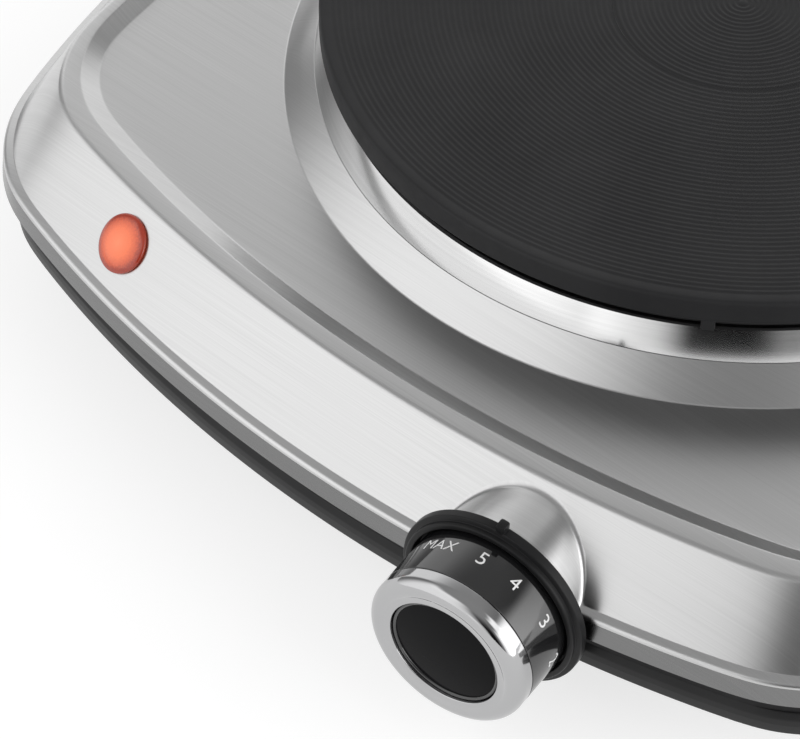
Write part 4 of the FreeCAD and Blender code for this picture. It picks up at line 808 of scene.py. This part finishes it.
def lamp_matrix():
    """Lamp space: square to the panel, half way up it, z out of the panel."""
    places, turns = [], []
    for half, height, front, *_ in OUTER_SECTION[2:4]:
        turn = math.asin(LAMP_X / front)
        places.append(Vector((LAMP_X, front * (1 - math.cos(turn)) - half, height)))
        turns.append(turn)
    turn = sum(turns) / 2
    right = Vector((math.cos(turn), math.sin(turn), 0))
    out = right.cross(places[1] - places[0]).normalized()
    place = Matrix((right, out.cross(right), out)).transposed().to_4x4()
    place.translation = (places[0] + places[1]) / 2
    return PLATE @ place


def lens_profile():
    """The dome from its middle, the flange's seat on the panel and the hollow barrel behind it."""
    points = []
    for step in range(LENS_STEPS + 1):
        swing = math.pi / 2 * step / LENS_STEPS
        points.append((LENS_RADIUS * math.sin(swing), LENS_FLANGE + LENS_DOME * math.cos(swing), 0))
    points += [
        (LENS_RADIUS, LENS_SEAT, 0.2), (BARREL_RADIUS, LENS_SEAT, 0), (BARREL_RADIUS, -BARREL_LENGTH, 0),
        (BARREL_BORE, -BARREL_LENGTH, 0), (BARREL_BORE, BARREL_END, 0.3), (0, BARREL_END, 0),
    ]
    return points


turned(
    "lens_dome", lens_profile(), "housing", "lamp_orange", LAMP, lamp_matrix(), ["lamp_lens"], LENS_SEGMENTS
)

# Dial figures, with their places round the drum in degrees from the top
FIGURES = (("MAX", -29), ("5", 3.5), ("4", 29), ("3", 60), ("2", 93), ("1", 121), ("0", 151))
FIGURE_SIZE, WORD_SIZE, FIGURE_HEIGHT = 4.6, 3.9, 7.8
PRINT_DEPTH, PRINT_THINNER, PRINT_LIFT, PRINT_CURVES = 0.06, -0.02, 0.02, 6


def figure(word, turn_degrees):
    """A printed figure laid on the drum, its top towards the rear."""
    text = bpy.data.curves.new(f"text_{word}", "FONT")
    text.body = word
    text.size = FIGURE_SIZE if len(word) == 1 else WORD_SIZE
    text.align_x, text.align_y = "CENTER", "CENTER"
    text.extrude = PRINT_DEPTH
    text.offset = PRINT_THINNER
    text.resolution_u = PRINT_CURVES
    made = bpy.data.objects.new(f"text_{word}", text)
    bpy.context.scene.collection.objects.link(made)
    mesh = bpy.data.meshes.new_from_object(made)
    bpy.data.objects.remove(made)
    verts = []
    for v in mesh.vertices:
        turn = math.pi / 2 - math.radians(turn_degrees) - v.co.x / DRUM_RADIUS
        radius = DRUM_RADIUS + PRINT_LIFT + v.co.z
        verts.append((radius * math.cos(turn), radius * math.sin(turn), FIGURE_HEIGHT - v.co.y))
    faces = [tuple(p.vertices) for p in mesh.polygons]
    piece(f"dial_figure_{word}", verts, faces, "knob", "lead_white", PRINT, (), KNOB)


for word, place in FIGURES:
    figure(word, place)

# Stage
scene = bpy.context.scene
scene.view_settings.view_transform = "Standard"

# Floor: its half width in metres, the tone that lights the object, and the glow and shade that are seen
FLOOR_REACH, FLOOR_TONE, FLOOR_ROUGHNESS = 4, 0.86, 0.8
FLOOR_GLOW, FLOOR_SHADE = 0.72, 0.4


def math_node(tree, kind, first, second):
    """The result of one kind of math on two values."""
    made = add(tree, "ShaderNodeMath", operation=kind)
    tree.links.new(first, made.inputs[0])
    tree.links.new(second, made.inputs[1])
    return made.outputs[0]


def floor_material():
    """A pale floor: white with soft shadows where it is seen, and a plain matt tone to other light."""
    made, tree, shader = material(
        "floor_skin", Base_Color=(FLOOR_TONE, FLOOR_TONE, FLOOR_TONE, 1), Roughness=FLOOR_ROUGHNESS
    )
    ray = add(tree, "ShaderNodeLightPath").outputs
    seen = math_node(tree, "MAXIMUM", ray["Is Camera Ray"], ray["Is Glossy Ray"])
    seen = math_node(tree, "MAXIMUM", seen, ray["Is Transmission Ray"])
    pale = add(tree, "ShaderNodeEmission")
    pale.inputs["Strength"].default_value = FLOOR_GLOW
    shade = add(tree, "ShaderNodeBsdfDiffuse")
    shade.inputs["Color"].default_value = (FLOOR_SHADE, FLOOR_SHADE, FLOOR_SHADE, 1)
    both = add(tree, "ShaderNodeAddShader")
    tree.links.new(pale.outputs[0], both.inputs[0])
    tree.links.new(shade.outputs[0], both.inputs[1])
    either = add(tree, "ShaderNodeMixShader")
    tree.links.new(seen, either.inputs["Fac"])
    tree.links.new(shader.outputs[0], either.inputs[1])
    tree.links.new(both.outputs[0], either.inputs[2])
    tree.links.new(either.outputs[0], tree.nodes["Material Output"].inputs["Surface"])
    return made


floor_mesh = bpy.data.meshes.new("floor")
floor_corners = [(FLOOR_REACH * x, FLOOR_REACH * y, 0) for x, y in ((-1, -1), (1, -1), (1, 1), (-1, 1))]
floor_mesh.from_pydata(floor_corners, [], [(0, 1, 2, 3)])
floor_mesh.materials.append(floor_material())
floor = bpy.data.objects.new("floor", floor_mesh)
scene.collection.objects.link(floor)

# Studio: brightness by the height of a direction, from the horizon to straight up
STUDIO = [(0.0, 0.27), (0.6, 0.27), (0.8, 0.40), (1.0, 0.42)]
# Soft boxes, in degrees: heading, inner and outer half width, height of the full and the faded top edge,
# and then brightness; the last is a dark flag
BOXES = [
    (-123, 16, 60, 48, 64, 1.22),
    (126, 34, 46, 30, 60, 0.95),
    (20, 40, 56, 24, 38, 1.60),
    (14, 14, 34, 46, 58, 1.55),
    (-74, 5, 14, 6, 18, 0.50),
    (-54, 7, 16, 14, 56, -0.26),
]
# Heights of every box's foot, in degrees: where it is full, and where it has faded
BOX_FOOT, BOX_FADED = -5, -20


def fade(tree, source, start, end, high=1.0):
    """A smooth rise from 0, where the source is at the start, to a high value at the end."""
    made = add(tree, "ShaderNodeMapRange", interpolation_type="SMOOTHSTEP")
    tree.links.new(source, made.inputs["Value"])
    for socket, number in zip(("From Min", "From Max", "To Min", "To Max"), (start, end, 0, high)):
        made.inputs[socket].default_value = number
    return made.outputs["Result"]


def sin_degrees(degrees):
    """The sine of an angle in degrees."""
    return math.sin(math.radians(degrees))


def cos_degrees(degrees):
    """The cosine of an angle in degrees."""
    return math.cos(math.radians(degrees))


def light_studio():
    """A dim studio with soft boxes, each bright over a range of headings and heights."""
    world = bpy.data.worlds.new("studio")
    scene.world = world
    world.use_nodes = True
    sky = world.node_tree
    direction = add(sky, "ShaderNodeTexCoord").outputs["Generated"]
    parts = add(sky, "ShaderNodeSeparateXYZ")
    sky.links.new(direction, parts.inputs[0])
    height = parts.outputs["Z"]
    level = add(sky, "ShaderNodeVectorMath", operation="MULTIPLY")
    sky.links.new(direction, level.inputs[0])
    level.inputs[1].default_value = (1, 1, 0)
    compass = add(sky, "ShaderNodeVectorMath", operation="NORMALIZE")
    sky.links.new(level.outputs[0], compass.inputs[0])
    total = ramp(sky, height, [(rise, (bright,) * 3) for rise, bright in STUDIO])
    for heading, inner, outer, full, faded, bright in BOXES:
        facing = add(sky, "ShaderNodeVectorMath", operation="DOT_PRODUCT")
        sky.links.new(compass.outputs[0], facing.inputs[0])
        facing.inputs[1].default_value = (cos_degrees(heading), sin_degrees(heading), 0)
        wide = fade(sky, facing.outputs["Value"], cos_degrees(outer), cos_degrees(inner), bright)
        top = fade(sky, height, sin_degrees(faded), sin_degrees(full))
        foot = fade(sky, height, sin_degrees(BOX_FADED), sin_degrees(BOX_FOOT))
        box = math_node(sky, "MULTIPLY", wide, math_node(sky, "MULTIPLY", top, foot))
        total = math_node(sky, "ADD", total, box)
    background = sky.nodes["Background"]
    sky.links.new(total, background.inputs["Strength"])
    background.inputs["Color"].default_value = (1, 1, 1, 1)


light_studio()

# Camera: its lens and film width in millimetres, its place and clipping in metres, and its turn in degrees
CAMERA_LENS, CAMERA_FILM = 179.19, 36
CAMERA_PLACE = (0.37594, -0.53164, 0.64539)
CAMERA_TURN = (43.366, -0.162, 41.461)
CAMERA_NEAR, CAMERA_FAR = 0.01, 20
camera = bpy.data.cameras.new("camera")
camera.sensor_width = CAMERA_FILM
camera.lens = CAMERA_LENS
camera.clip_start, camera.clip_end = CAMERA_NEAR, CAMERA_FAR
eye = bpy.data.objects.new("camera", camera)
eye.location = CAMERA_PLACE
eye.rotation_euler = [math.radians(angle) for angle in CAMERA_TURN]
scene.collection.objects.link(eye)
scene.camera = eye
